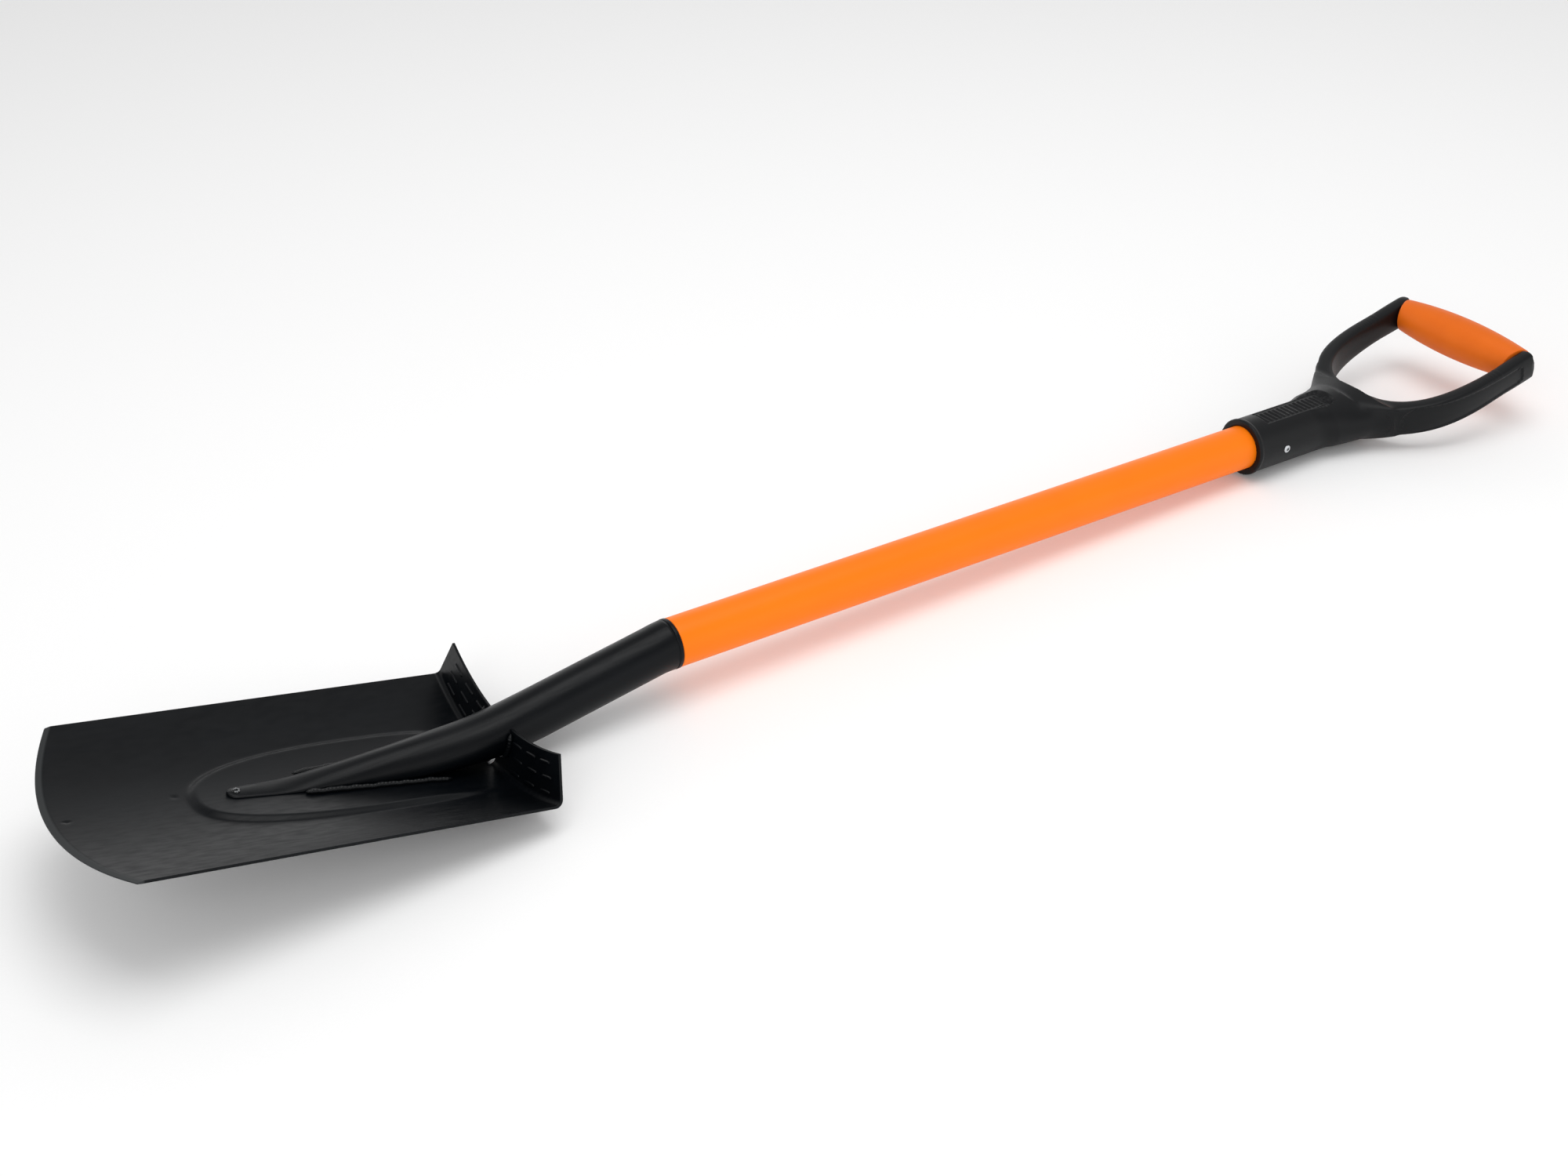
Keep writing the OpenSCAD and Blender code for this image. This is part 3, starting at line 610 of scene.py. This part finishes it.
def arm_path(count=160):
    """Middle line of the bow in plan, its outward normals, and half widths and half heights."""
    a = np.radians(np.linspace(-90.0, 90.0, count))
    p = hole_point(a)
    u, v = (HOLE_TOP - p[:, 0]) / (HOLE_TOP - CROTCH), np.abs(p[:, 1]) / (ARM_Y - ARM_W)
    n = np.stack([-u ** (HOLE_POWER - 1) / (HOLE_TOP - CROTCH),
                  np.sign(a) * v ** (HOLE_POWER - 1) / (ARM_Y - ARM_W)], -1)
    n /= np.linalg.norm(n, axis=1)[:, None]
    w = mix(WEB_W, ARM_W, np.clip(np.abs(np.degrees(a)) / 40.0, 0.0, 1.0))
    h = ARM_H + (YOKE_H - ARM_H) * np.clip(u, 0.0, 1.0) ** 1.2
    tail = np.linspace(0.0, 1.0, 14)[1:, None]
    middle, ones = p + w[:, None] * n, np.ones((len(tail), 1))
    first = mix(middle[:1], [[GRIP_REACH + 20.0, middle[0, 1]]], tail)[::-1]
    last = mix(middle[-1:], [[GRIP_REACH + 20.0, middle[-1, 1]]], tail)
    return (np.concatenate([first, middle, last]),
            np.concatenate([n[:1] * ones, n, n[-1:] * ones]),
            np.concatenate([w[0] * ones[:, 0], w, w[-1] * ones[:, 0]]),
            np.concatenate([h[0] * ones[:, 0], h, h[-1] * ones[:, 0]]))


ARM = arm_path()
ARM_ALONG = np.concatenate([[0.0], np.cumsum(np.linalg.norm(np.diff(ARM[0], axis=0), axis=1))])
ARM_ALONG -= ARM_ALONG[-1] / 2.0


def nearest_on_arm(points):
    """For each point of the ring's frame, the number of the nearest point of the middle line."""
    nearest = np.empty(len(points), int)
    line = ARM[0].astype(np.float32)
    for start in range(0, len(points), 20000):
        block = points[start:start + 20000, :2].astype(np.float32)
        far = (line ** 2).sum(-1) - 2.0 * block @ line.T
        nearest[start:start + 20000] = np.argmin(far, 1)
    return nearest


def bow_field(p, k):
    """Field of the bow: squared ellipses along the middle line, cut where the grip sits on it."""
    q = ((p[:, :2] - ARM[0][k]) * ARM[1][k]).sum(-1)
    w, h = ARM[2][k], ARM[3][k] + (END_H - ARM_H) * smooth((p[:, 0] - END_FROM) / END_GROWTH)
    g = ((np.abs(q) / w) ** ARM_POWER + (np.abs(p[:, 2]) / h) ** ARM_POWER) ** (1.0 / ARM_POWER)
    past = np.maximum(p[:, 0] - GRIP_REACH, 0.0)
    end = (past ** END_POWER + np.abs(p[:, 2]) ** END_POWER) ** (1.0 / END_POWER) - END_H
    body = -soft_min(-(g - 1.0) * np.minimum(w, h), -end, BLEND_END)
    seat = np.abs(p[:, 1]) - GRIP_HALF - MITRE_TAN * (p[:, 0] - GRIP_REACH)
    return np.maximum(body, -np.maximum(seat, GRIP_REACH - SEAT_BACK - p[:, 0]))


def yoke_size(x):
    """Half width, half height and middle height of the yoke at a distance along the ring.

    The width grows as a power of the way, the height changes in an S, and the middle leaves the
    shaft's axis in a parabola that ends in the ring's own plane.
    """
    t = np.clip((x + YOKE_LEN) / (YOKE_LEN + YOKE_END), 0.0, 1.0)
    return (mix(SOCKET_R - 1.0, YOKE_W, t ** YOKE_POWER),
            mix(SOCKET_R - 0.5, YOKE_H, smooth((x + YOKE_FROM) / YOKE_RISE)),
            math.tan(RING_TILT) * bend(-x, 0.0, YOKE_TURN))


def yoke_field(p):
    """Field of the yoke: ellipses that grow out of the socket and widen to the foot of the bow."""
    w, h, middle = yoke_size(p[:, 0])
    g = np.hypot(p[:, 1] / w, (p[:, 2] - middle) / h)
    start = BLEND_SOCKET * (1.0 - smooth((p[:, 0] + YOKE_LEN) / YOKE_FADE))
    return np.maximum((g - 1.0) * np.minimum(w, h) + start, p[:, 0] - YOKE_END)


# The low rim round the socket's mouth: height, length and the length of its slope
RIM_H, RIM_LEN, RIM_SLOPE = 0.7, 3.2, 1.2


def socket_field(p):
    """Field of the socket's outside in the shaft's frame, with a low rim round its mouth."""
    s = p[:, 0] - SHAFT_LEN + SOCKET_DEPTH
    rim = RIM_H * (1.0 - smooth((s - RIM_LEN) / RIM_SLOPE))
    r = np.hypot(p[:, 1], p[:, 2]) - SOCKET_R - rim
    return np.maximum(r, s - SOCKET_DEPTH - 1.0)


def corner_field(p):
    """Field that rounds the ring's outer corners, seen square to the ring."""
    x, y = p[:, 0] - CORNER_S, np.abs(p[:, 1]) - CORNER_Y
    return np.hypot(np.maximum(x, 0.0), np.maximum(y, 0.0)) - CORNER_R


# The recess on top of the socket: half width, half length, depth level and corner radius
RECESS_FROM, RECESS_LEN, RECESS_HALF, RECESS_FLOOR, RECESS_CORNER = 18.0, 80.0, 10.6, 21.5, 3.0
RIB_STEP, RIB_H = 5.0, 0.9
# The inset oval on the outside of each arm: where it runs along the bow, its depth and its slope
OVAL_FROM, OVAL_TO, OVAL_SHARE, OVAL_DEPTH, OVAL_SLOPE = 50.0, 174.0, 0.6, 1.2, 1.8


def recess_floor(p):
    """Field of the recess: a rounded box above its floor, which carries low cross ribs."""
    s = p[:, 0] - SHAFT_LEN + SOCKET_DEPTH - RECESS_FROM - RECESS_LEN / 2.0
    dx = np.abs(s) - RECESS_LEN / 2.0 + RECESS_CORNER
    dy = np.abs(p[:, 1]) - RECESS_HALF + RECESS_CORNER
    beyond = np.hypot(np.maximum(dx, 0.0), np.maximum(dy, 0.0))
    plan = beyond - RECESS_CORNER + np.minimum(np.maximum(dx, dy), 0.0)
    rib = RIB_H * smooth(2.0 * np.cos(TAU * s / RIB_STEP)) * smooth((-plan - 2.6) / 0.8)
    return np.maximum(plan, RECESS_FLOOR + rib - p[:, 2])


def oval_inset(p, k):
    """Depth of the oval inset at points of the ring's frame."""
    q = ((p[:, :2] - ARM[0][k]) * ARM[1][k]).sum(-1)
    along = np.abs(ARM_ALONG[k])
    high = OVAL_SHARE * ARM[3][k]
    middle, reach = (OVAL_FROM + OVAL_TO) / 2.0, (OVAL_TO - OVAL_FROM) / 2.0
    beyond = np.maximum(np.abs(along - middle) - reach + high, 0.0)
    edge = high - np.hypot(beyond, p[:, 2])
    outside = smooth((q / ARM[2][k] - 0.3) / 0.3)
    return OVAL_DEPTH * outside * smooth(edge / OVAL_SLOPE + 0.5)


def handle_field(points, k):
    """Field of the whole moulding at row frame points in millimetres: below 0 inside.

    The blend between socket and yoke narrows underneath, where the handle rests on its keel.
    """
    on_ring, on_shaft = RING.into(points), SHAFT.into(points)
    body = soft_min(bow_field(on_ring, k), yoke_field(on_ring), BLEND_BOW)
    above = smooth((on_shaft[:, 2] + 22.0) / 14.0)
    body = soft_min(body, socket_field(on_shaft), mix(1.0, BLEND_SOCKET, above))
    body = np.maximum(body, corner_field(on_ring))
    s = on_shaft[:, 0] - SHAFT_LEN + SOCKET_DEPTH
    bore = np.maximum(np.hypot(on_shaft[:, 1], on_shaft[:, 2]) - SHAFT_R - CLEARANCE, s - SOCKET_DEPTH)
    body = np.maximum(body, -bore)
    body = np.maximum(body, -s)
    body = np.maximum(body, -recess_floor(on_shaft))
    return body + oval_inset(on_ring, k)


def loft(rings, local):
    """Points and faces of a closed skin over rings, with each end drawn to its middle point."""
    rows, cols = rings.shape[:2]
    first, last = (np.repeat(end.mean(1, keepdims=True), cols, 1) for end in (rings[:1], rings[-1:]))
    rings = np.concatenate([first, rings, last])
    points = local.out(rings.reshape(-1, 3))
    return points, outward(points - points.mean(0), sheet_faces(rows + 2, cols, wrap=True))


def handle_blank():
    """Rough lofts of socket, yoke and bow, which the voxel remesh joins into one skin."""
    a = np.arange(48) * TAU / 48
    lofts = []
    bore = SHAFT_R + 0.3
    s = np.concatenate([[SOCKET_DEPTH + 1.0], np.linspace(SOCKET_DEPTH - 1.0, 1.0, 12),
                        [0.0, 0.0, SOCKET_DEPTH - 1.0]])
    r = np.concatenate([[SOCKET_R - 1.0], np.full(12, SOCKET_R), [SOCKET_R - 0.3, bore, bore]])
    s = s[:, None] + SHAFT_LEN - SOCKET_DEPTH
    lofts.append(loft(stack(s + 0 * a, r[:, None] * np.cos(a), r[:, None] * np.sin(a)), SHAFT))
    x = np.linspace(-26.0, YOKE_END - 1.0, 12)[:, None]
    w, h, middle = yoke_size(x)
    plug = stack(x + 0 * a, w * np.cos(a), h * np.sin(a) + middle)
    lofts.append(loft(plug, RING))
    c, n, w, h = (part[::2] for part in ARM)
    keep = c[:, 0] < GRIP_REACH + 11.0
    c, n, w, h = c[keep], n[keep], w[keep], h[keep]
    side = np.sign(np.cos(a)) * np.abs(np.cos(a)) ** (2.0 / ARM_POWER)
    lift = np.sign(np.sin(a)) * np.abs(np.sin(a)) ** (2.0 / ARM_POWER)
    q = w[:, None] * side
    bow = stack(c[:, :1] + q * n[:, :1], c[:, 1:] + q * n[:, 1:], h[:, None] * lift)
    lofts.append(loft(bow, RING))
    offsets = np.cumsum([0] + [len(part[0]) for part in lofts])
    return (np.concatenate([part[0] for part in lofts]),
            np.concatenate([part[1] + start for part, start in zip(lofts, offsets)]))


# Size of the voxels, how often the points are pulled on to the surface, the distance over which
# the slope is measured and the longest single move
VOXEL, PULLS, SLOPE_STEP, LONGEST_MOVE = 0.85, 7, 0.15, 1.5


def build_handle():
    """The moulding: a voxel skin over the blank, each point then moved on to the field's zero level.

    A move is the field's value over the length of its slope, against the slope; the slope comes
    from differences SLOPE_STEP apart, and a move is never longer than LONGEST_MOVE.
    """
    points, faces = handle_blank()
    piece = make_piece("handle_moulding", points, faces)
    remesh = piece.modifiers.new("one skin", "REMESH")
    remesh.mode = "VOXEL"
    remesh.voxel_size = VOXEL * MM
    relax = piece.modifiers.new("relax", "SMOOTH")
    relax.factor = 0.5
    relax.iterations = 4
    apply_modifiers(piece)
    mesh = piece.data
    flat = np.empty(3 * len(mesh.vertices))
    mesh.vertices.foreach_get("co", flat)
    p = flat.reshape(-1, 3) / MM
    for _ in range(PULLS):
        k = nearest_on_arm(RING.into(p))
        value = handle_field(p, k)
        slope = np.stack([(handle_field(p + SLOPE_STEP * axis, k) - value) / SLOPE_STEP
                          for axis in np.eye(3)], -1)
        steep = np.maximum((slope ** 2).sum(-1), 0.15)
        move = -value[:, None] * slope / steep[:, None]
        length = np.maximum(np.linalg.norm(move, axis=1), 1e-9)
        p = p + move * np.minimum(1.0, LONGEST_MOVE / length)[:, None]
    mesh.vertices.foreach_set("co", (p * MM).ravel())
    mesh.update()
    mesh.shade_smooth()
    mesh.set_sharp_from_angle(angle=math.radians(60.0))
    return piece


def build_grip():
    """The soft cover: a barrel about the grip's axis, whose ends follow the mitres.

    Round each section the barrel's ends lie at the mitre plane, so the rings slant to both
    sides; the ring's outer corners are rounded by drawing points on to the corner's arc.
    """
    around, rows = 128, 120
    a = np.arange(around) * TAU / around
    t = np.linspace(-1.0, 1.0, rows)[:, None]
    tip = GRIP_END_R * np.cos(a) * MITRE_TAN
    y = t * (GRIP_HALF - 0.1 + tip * np.abs(t) ** 6)
    hem = 0.45 * (1.0 - np.sqrt(np.clip((1.0 - np.abs(t)) * 60.0, 0.0, 1.0)))
    r = GRIP_R - (GRIP_R - GRIP_END_R) * (y / ARM_Y) ** 2 - hem
    s, z = GRIP_REACH + r * np.cos(a), r * np.sin(a)
    dx, dy = np.maximum(s - CORNER_S, 0.0), np.maximum(np.abs(y) - CORNER_Y, 0.0)
    far = np.hypot(dx, dy)
    draw = np.where((dx > 0) & (dy > 0) & (far > CORNER_R), CORNER_R / np.maximum(far, 1e-9), 1.0)
    s = np.where(draw < 1.0, CORNER_S + dx * draw, s)
    y = np.where(draw < 1.0, np.sign(y) * (CORNER_Y + dy * draw), y)
    return closed_skin("grip_sleeve", stack(s, y, z), RING, crease=50.0)


def build_rivets():
    """Two blind rivets: a low dome with a round rim and a dished middle that holds the stem."""
    rim, dome, bore = 0.35, 0.95, 1.4
    profile = ([(SOCKET_R - 0.4, bore), (SOCKET_R - 0.4, RIVET_HEAD_R)]
               + arc((SOCKET_R + rim, RIVET_HEAD_R - rim), rim, 0.0, 90.0)[::-1]
               + [(SOCKET_R + rim + dome * (1.0 - k * k), RIVET_HEAD_R * k) for k in (0.85, 0.7, 0.55, 0.42)]
               + [(SOCKET_R + 0.9, bore + 0.1), (SOCKET_R + 0.6, bore)])
    pieces = []
    for side, name in ((-1, "rivet_near"), (1, "rivet_far")):
        local = Frame((0.0, 0.0, 0.0), 0.0)
        local.axes = np.array([[0.0, side, 0.0], SHAFT.axes[0], -side * SHAFT.axes[2]])
        local.origin = SHAFT.out((SHAFT_LEN - SOCKET_DEPTH + RIVET_INSET, 0.0, 0.0))
        pieces.append(revolved(name, profile, local, around=48))
    return pieces


def build_tongue_rivet():
    """A tubular rivet: a rolled rim round an open bore."""
    top = PANEL_H + TONGUE_T
    rim = (TONGUE_RIVET_R + TONGUE_RIVET_BORE) / 2.0
    half = (TONGUE_RIVET_R - TONGUE_RIVET_BORE) / 2.0
    local = Frame((0.0, 0.0, 0.0), 0.0)
    local.axes = np.array([BLADE.axes[2], BLADE.axes[0], BLADE.axes[1]])
    local.origin = BLADE.out((TIP_X + TONGUE_TIP_W, 0.0, 0.0))
    profile = (arc((top, rim), half, 90.0, -90.0, 9) + [(PANEL_H - SHEET - 0.7, TONGUE_RIVET_BORE)]
               + [(PANEL_H - SHEET - 0.7, TONGUE_RIVET_R), (PANEL_H - SHEET, TONGUE_RIVET_R - 0.6)]
               + [(PANEL_H - SHEET, TONGUE_RIVET_R - 1.1), (top, TONGUE_RIVET_R - 1.1)])
    return revolved("tongue_eyelet", profile, local, around=40)


# ---------------------------------------------------------------------------
# Materials
# ---------------------------------------------------------------------------
def linear(code):
    """An sRGB hex colour as linear light with full alpha."""
    part = [int(code[i:i + 2], 16) / 255.0 for i in (1, 3, 5)]
    return tuple(c / 12.92 if c <= 0.04045 else ((c + 0.055) / 1.055) ** 2.4 for c in part) + (1.0,)


def add_node(tree, kind, settings=None, inputs=None, links=None):
    """Adds a node with its settings, input values and links from other nodes' sockets."""
    made = tree.nodes.new("ShaderNode" + kind)
    for name, value in (settings or {}).items():
        setattr(made, name, value)
    for name, value in (inputs or {}).items():
        made.inputs[name].default_value = value
    for name, source in (links or {}).items():
        tree.links.new(source, made.inputs[name])
    return made


def new_material(name):
    """An empty node material: its tree, its output and the Object coordinates."""
    material = bpy.data.materials.new(name)
    material.use_nodes = True
    tree = material.node_tree
    tree.nodes.clear()
    where = add_node(tree, "TexCoord").outputs["Object"]
    return material, tree, where


def noise(tree, where, period_mm, detail=2.0, squeeze=(1.0, 1.0, 1.0)):
    """A noise pattern whose features are period_mm apart, squeezed along the axes."""
    placed = add_node(tree, "Mapping", inputs={"Scale": squeeze}, links={"Vector": where})
    return add_node(tree, "TexNoise", inputs={"Scale": 1.0 / (period_mm * MM), "Detail": detail},
                    links={"Vector": placed.outputs["Vector"]}).outputs["Fac"]


def ramp(tree, value, low, high, to_low, to_high):
    """A value between low and high carried over to the range to_low to to_high."""
    inputs = {"From Min": low, "From Max": high, "To Min": to_low, "To Max": to_high}
    return add_node(tree, "MapRange", inputs=inputs, links={"Value": value}).outputs["Result"]


def colour_mix(tree, factor, first, second):
    """A mix of two hex colours, or of a socket and a hex colour, by a factor socket."""
    made = add_node(tree, "Mix", settings={"data_type": "RGBA"}, links={"Factor": factor})
    for slot, value in ((6, first), (7, second)):
        if isinstance(value, str):
            made.inputs[slot].default_value = linear(value)
        else:
            tree.links.new(value, made.inputs[slot])
    return made.outputs[2]


def bump(tree, height, depth_mm, strength=1.0, under=None):
    """A bump of a given depth from a height socket."""
    links = {"Height": height}
    if under is not None:
        links["Normal"] = under
    return add_node(tree, "Bump", inputs={"Strength": strength, "Distance": depth_mm * MM},
                    links=links).outputs["Normal"]


def finish_surface(tree, inputs, links):
    """The Principled shader and the material's output."""
    shader = add_node(tree, "BsdfPrincipled", inputs=inputs, links=links)
    add_node(tree, "OutputMaterial", links={"Surface": shader.outputs["BSDF"]})


def black_enamel():
    """Black stove enamel on pressed steel: near-black and satin, with orange peel and faint rub marks, and a
    lighter grey ground edge that is part wear, part painted highlight.
    """
    material, tree, where = new_material("black stove enamel")
    peel = noise(tree, where, 1.6, 2.0)
    haze = noise(tree, where, 38.0, 4.0, (0.35, 1.0, 1.0))
    rubs = noise(tree, where, 3.0, 3.0, (0.06, 1.0, 1.0))
    tone = colour_mix(tree, ramp(tree, haze, 0.4, 0.7, 0.0, 1.0), "#020407", "#06090d")
    # Lighter grey #2e3031 along the ground edge: edge wear together with a painted highlight of the bevel
    # catching the light
    edge_wear_and_highlight = add_node(tree, "Attribute", settings={"attribute_name": "edge_wear_and_highlight"}).outputs["Fac"]
    tone = colour_mix(tree, ramp(tree, edge_wear_and_highlight, 0.15, 0.4, 0.0, 1.0), tone, "#2e3031")
    rough = ramp(tree, rubs, 0.35, 0.7, 0.3, 0.42)
    finish_surface(tree, {"IOR": 1.5, "Specular IOR Level": 0.16},
                   {"Base Color": tone, "Roughness": rough, "Normal": bump(tree, peel, 0.03, 0.5)})
    return material


def weld_enamel():
    """The same enamel over a weld: it pools smoother between the lumps, and its colour is lighter on their
    backs and darker between them, a painted sheen and painted shade.
    """
    material, tree, where = new_material("black stove enamel on weld")
    lumps = noise(tree, where, 2.2, 3.0)
    # Colour follows the lumps' height: lighter on their tops, darker between them, a painted sheen and
    # painted shade
    tone = colour_mix(tree, lumps, "#030507", "#090b0e")
    finish_surface(tree, {"IOR": 1.5, "Specular IOR Level": 0.25},
                   {"Base Color": tone, "Roughness": ramp(tree, lumps, 0.3, 0.7, 0.24, 0.4),
                    "Normal": bump(tree, lumps, 0.15, 0.6)})
    return material


def orange_coat():
    """Smooth orange polypropylene extruded over the tube: even colour, satin gloss, faint draw lines."""
    material, tree, where = new_material("orange polypropylene coat")
    cloud = noise(tree, where, 60.0, 2.0)
    lines = noise(tree, where, 1.2, 2.0, (0.02, 1.0, 1.0))
    tone = colour_mix(tree, cloud, "#f97704", "#ff7f0a")
    finish_surface(tree, {"IOR": 1.49, "Specular IOR Level": 0.2},
                   {"Base Color": tone, "Roughness": ramp(tree, lines, 0.3, 0.7, 0.38, 0.46),
                    "Normal": bump(tree, lines, 0.01, 0.35)})
    return material


def orange_sleeve():
    """Orange thermoplastic rubber, moulded with a fine matt grain that softens its highlights."""
    material, tree, where = new_material("orange thermoplastic rubber")
    grain = noise(tree, where, 0.7, 2.0)
    cloud = noise(tree, where, 25.0, 3.0)
    tone = colour_mix(tree, cloud, "#dc640e", "#e46c12")
    finish_surface(tree, {"IOR": 1.5, "Specular IOR Level": 0.2},
                   {"Base Color": tone, "Roughness": ramp(tree, grain, 0.3, 0.7, 0.46, 0.58),
                    "Normal": bump(tree, grain, 0.03, 0.35)})
    return material


def black_moulding():
    """Black injection-moulded polypropylene with a spark-eroded grain, drawn at 0.6 mm so that it shows."""
    material, tree, where = new_material("black polypropylene")
    grain = noise(tree, where, 0.6, 2.0)
    flow = noise(tree, where, 45.0, 3.0)
    tone = colour_mix(tree, flow, "#030406", "#07090c")
    finish_surface(tree, {"IOR": 1.49, "Specular IOR Level": 0.24},
                   {"Base Color": tone, "Roughness": ramp(tree, grain, 0.3, 0.7, 0.38, 0.5),
                    "Normal": bump(tree, grain, 0.025, 0.4)})
    return material


def bright_aluminium():
    """Aluminium blind rivets: bright, lightly pulled by the setting tool."""
    material, tree, where = new_material("bright aluminium")
    scuff = noise(tree, where, 0.5, 3.0)
    tone = colour_mix(tree, scuff, "#b9bcc0", "#e2e4e6")
    finish_surface(tree, {"Metallic": 1.0},
                   {"Base Color": tone, "Roughness": ramp(tree, scuff, 0.3, 0.7, 0.22, 0.38),
                    "Normal": bump(tree, scuff, 0.02, 0.4)})
    return material


def rubbed_steel():
    """Steel rivet under enamel that has been rubbed thin on its rim."""
    material, tree, where = new_material("rubbed steel rivet")
    patch = noise(tree, where, 1.4, 3.0)
    tone = colour_mix(tree, ramp(tree, patch, 0.42, 0.58, 0.0, 1.0), "#2a2b2c", "#8b8d8e")
    finish_surface(tree, {"Metallic": 1.0},
                   {"Base Color": tone, "Roughness": ramp(tree, patch, 0.3, 0.7, 0.5, 0.32),
                    "Normal": bump(tree, patch, 0.05, 0.5)})
    return material


def drawn_steel():
    """Plain drawn steel tube with lines along it, hidden inside the coat."""
    material, tree, where = new_material("drawn steel")
    lines = noise(tree, where, 0.8, 3.0, (0.02, 1.0, 1.0))
    tone = colour_mix(tree, lines, "#8d9093", "#b4b7ba")
    finish_surface(tree, {"Metallic": 1.0},
                   {"Base Color": tone, "Roughness": ramp(tree, lines, 0.3, 0.7, 0.3, 0.5),
                    "Normal": bump(tree, lines, 0.01, 0.4)})
    return material


def pale_floor():
    """Matt white studio paper with a barely visible tooth."""
    material, tree, where = new_material("white studio paper")
    tooth = noise(tree, where, 2.0, 2.0)
    tone = colour_mix(tree, tooth, "#fbfbfb", "#fefefe")
    finish_surface(tree, {"Specular IOR Level": 0.1},
                   {"Base Color": tone, "Roughness": ramp(tree, tooth, 0.0, 1.0, 0.85, 0.95)})
    return material


# ---------------------------------------------------------------------------
# Put together
# ---------------------------------------------------------------------------
def dress(piece, material, slot, *nodes):
    """Gives a piece its material, ties it to the body and stands it for CAD nodes; the slot argument is not
    used.
    """
    piece.data.materials.clear()
    piece.data.materials.append(material)
    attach(piece, "root")
    if nodes:
        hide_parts(*nodes)


enamel, moulding, steel = black_enamel(), black_moulding(), drawn_steel()
weld = weld_enamel()
dress(build_blade(), enamel, "black_enamel", "blade")
dress(build_tread_bars(), enamel, "black_enamel")
dress(build_neck(), enamel, "black_enamel", "neck")
for word, side, seed in (("left", 1, 3), ("right", -1, 4)):
    bead_piece = build_tongue_weld("tongue_bead_" + word, side, seed)
    dress(bead_piece, weld, "black_enamel", "tongue_weld_" + word)
    bead_piece = build_tread_weld("tread_bead_" + word, side, seed + 4)
    dress(bead_piece, weld, "black_enamel", "tread_weld_" + word)
dress(build_tongue_rivet(), rubbed_steel(), "bare_rivet", "tongue_rivet")
dress(build_coating(), orange_coat(), "orange_coat", "shaft_coating")
dress(build_handle(), moulding, "black_moulding", "handle_frame")
dress(build_grip(), orange_sleeve(), "orange_grip", "grip_cover")
aluminium = bright_aluminium()
rivets = build_rivets()
dress(rivets[0], aluminium, "bright_rivet", "handle_rivets")
dress(rivets[1], aluminium, "bright_rivet")
for name in ("shaft_tube", "rivet_stems"):
    node = frame["nodes"][name]
    node.data.materials.clear()
    node.data.materials.append(steel)


# ---------------------------------------------------------------------------
# Floor and light
# ---------------------------------------------------------------------------
def add_floor():
    """A wide flat sheet under the tool."""
    size = 6.0
    mesh = bpy.data.meshes.new("floor")
    corners = [(-size, -size, 0), (size, -size, 0), (size, size, 0), (-size, size, 0)]
    mesh.from_pydata(corners, [], [(0, 1, 2, 3)])
    floor = bpy.data.objects.new("floor", mesh)
    floor.data.materials.append(pale_floor())
    bpy.context.scene.collection.objects.link(floor)


def add_light(name, place, size, power, target=(0.0, 0.0, 0.0)):
    """A square soft box at a place, aimed at a target."""
    data = bpy.data.lights.new(name, "AREA")
    data.shape = "SQUARE"
    data.size = size
    data.energy = power
    lamp = bpy.data.objects.new(name, data)
    aim = Vector(target) - Vector(place)
    lamp.matrix_world = Matrix.Translation(place) @ aim.to_track_quat("-Z", "Y").to_matrix().to_4x4()
    bpy.context.scene.collection.objects.link(lamp)


add_floor()
world = bpy.data.worlds.new("studio")
world.use_nodes = True
backdrop = world.node_tree.nodes["Background"]
backdrop.inputs["Color"].default_value = (1.0, 1.0, 1.0, 1.0)
upward = add_node(world.node_tree, "TexCoord").outputs["Generated"]
height = add_node(world.node_tree, "SeparateXYZ", links={"Vector": upward}).outputs["Z"]
world.node_tree.links.new(ramp(world.node_tree, height, 0.25, 0.6, 1.25, 0.5), backdrop.inputs["Strength"])
bpy.context.scene.world = world
# Colours are shown as they are, with no film curve over them
bpy.context.scene.view_settings.view_transform = "Standard"
add_light("soft box above", (0.1, -0.2, 2.4), 1.8, 26.0)
add_light("soft box left", (-1.8, -1.6, 1.6), 1.2, 9.0)
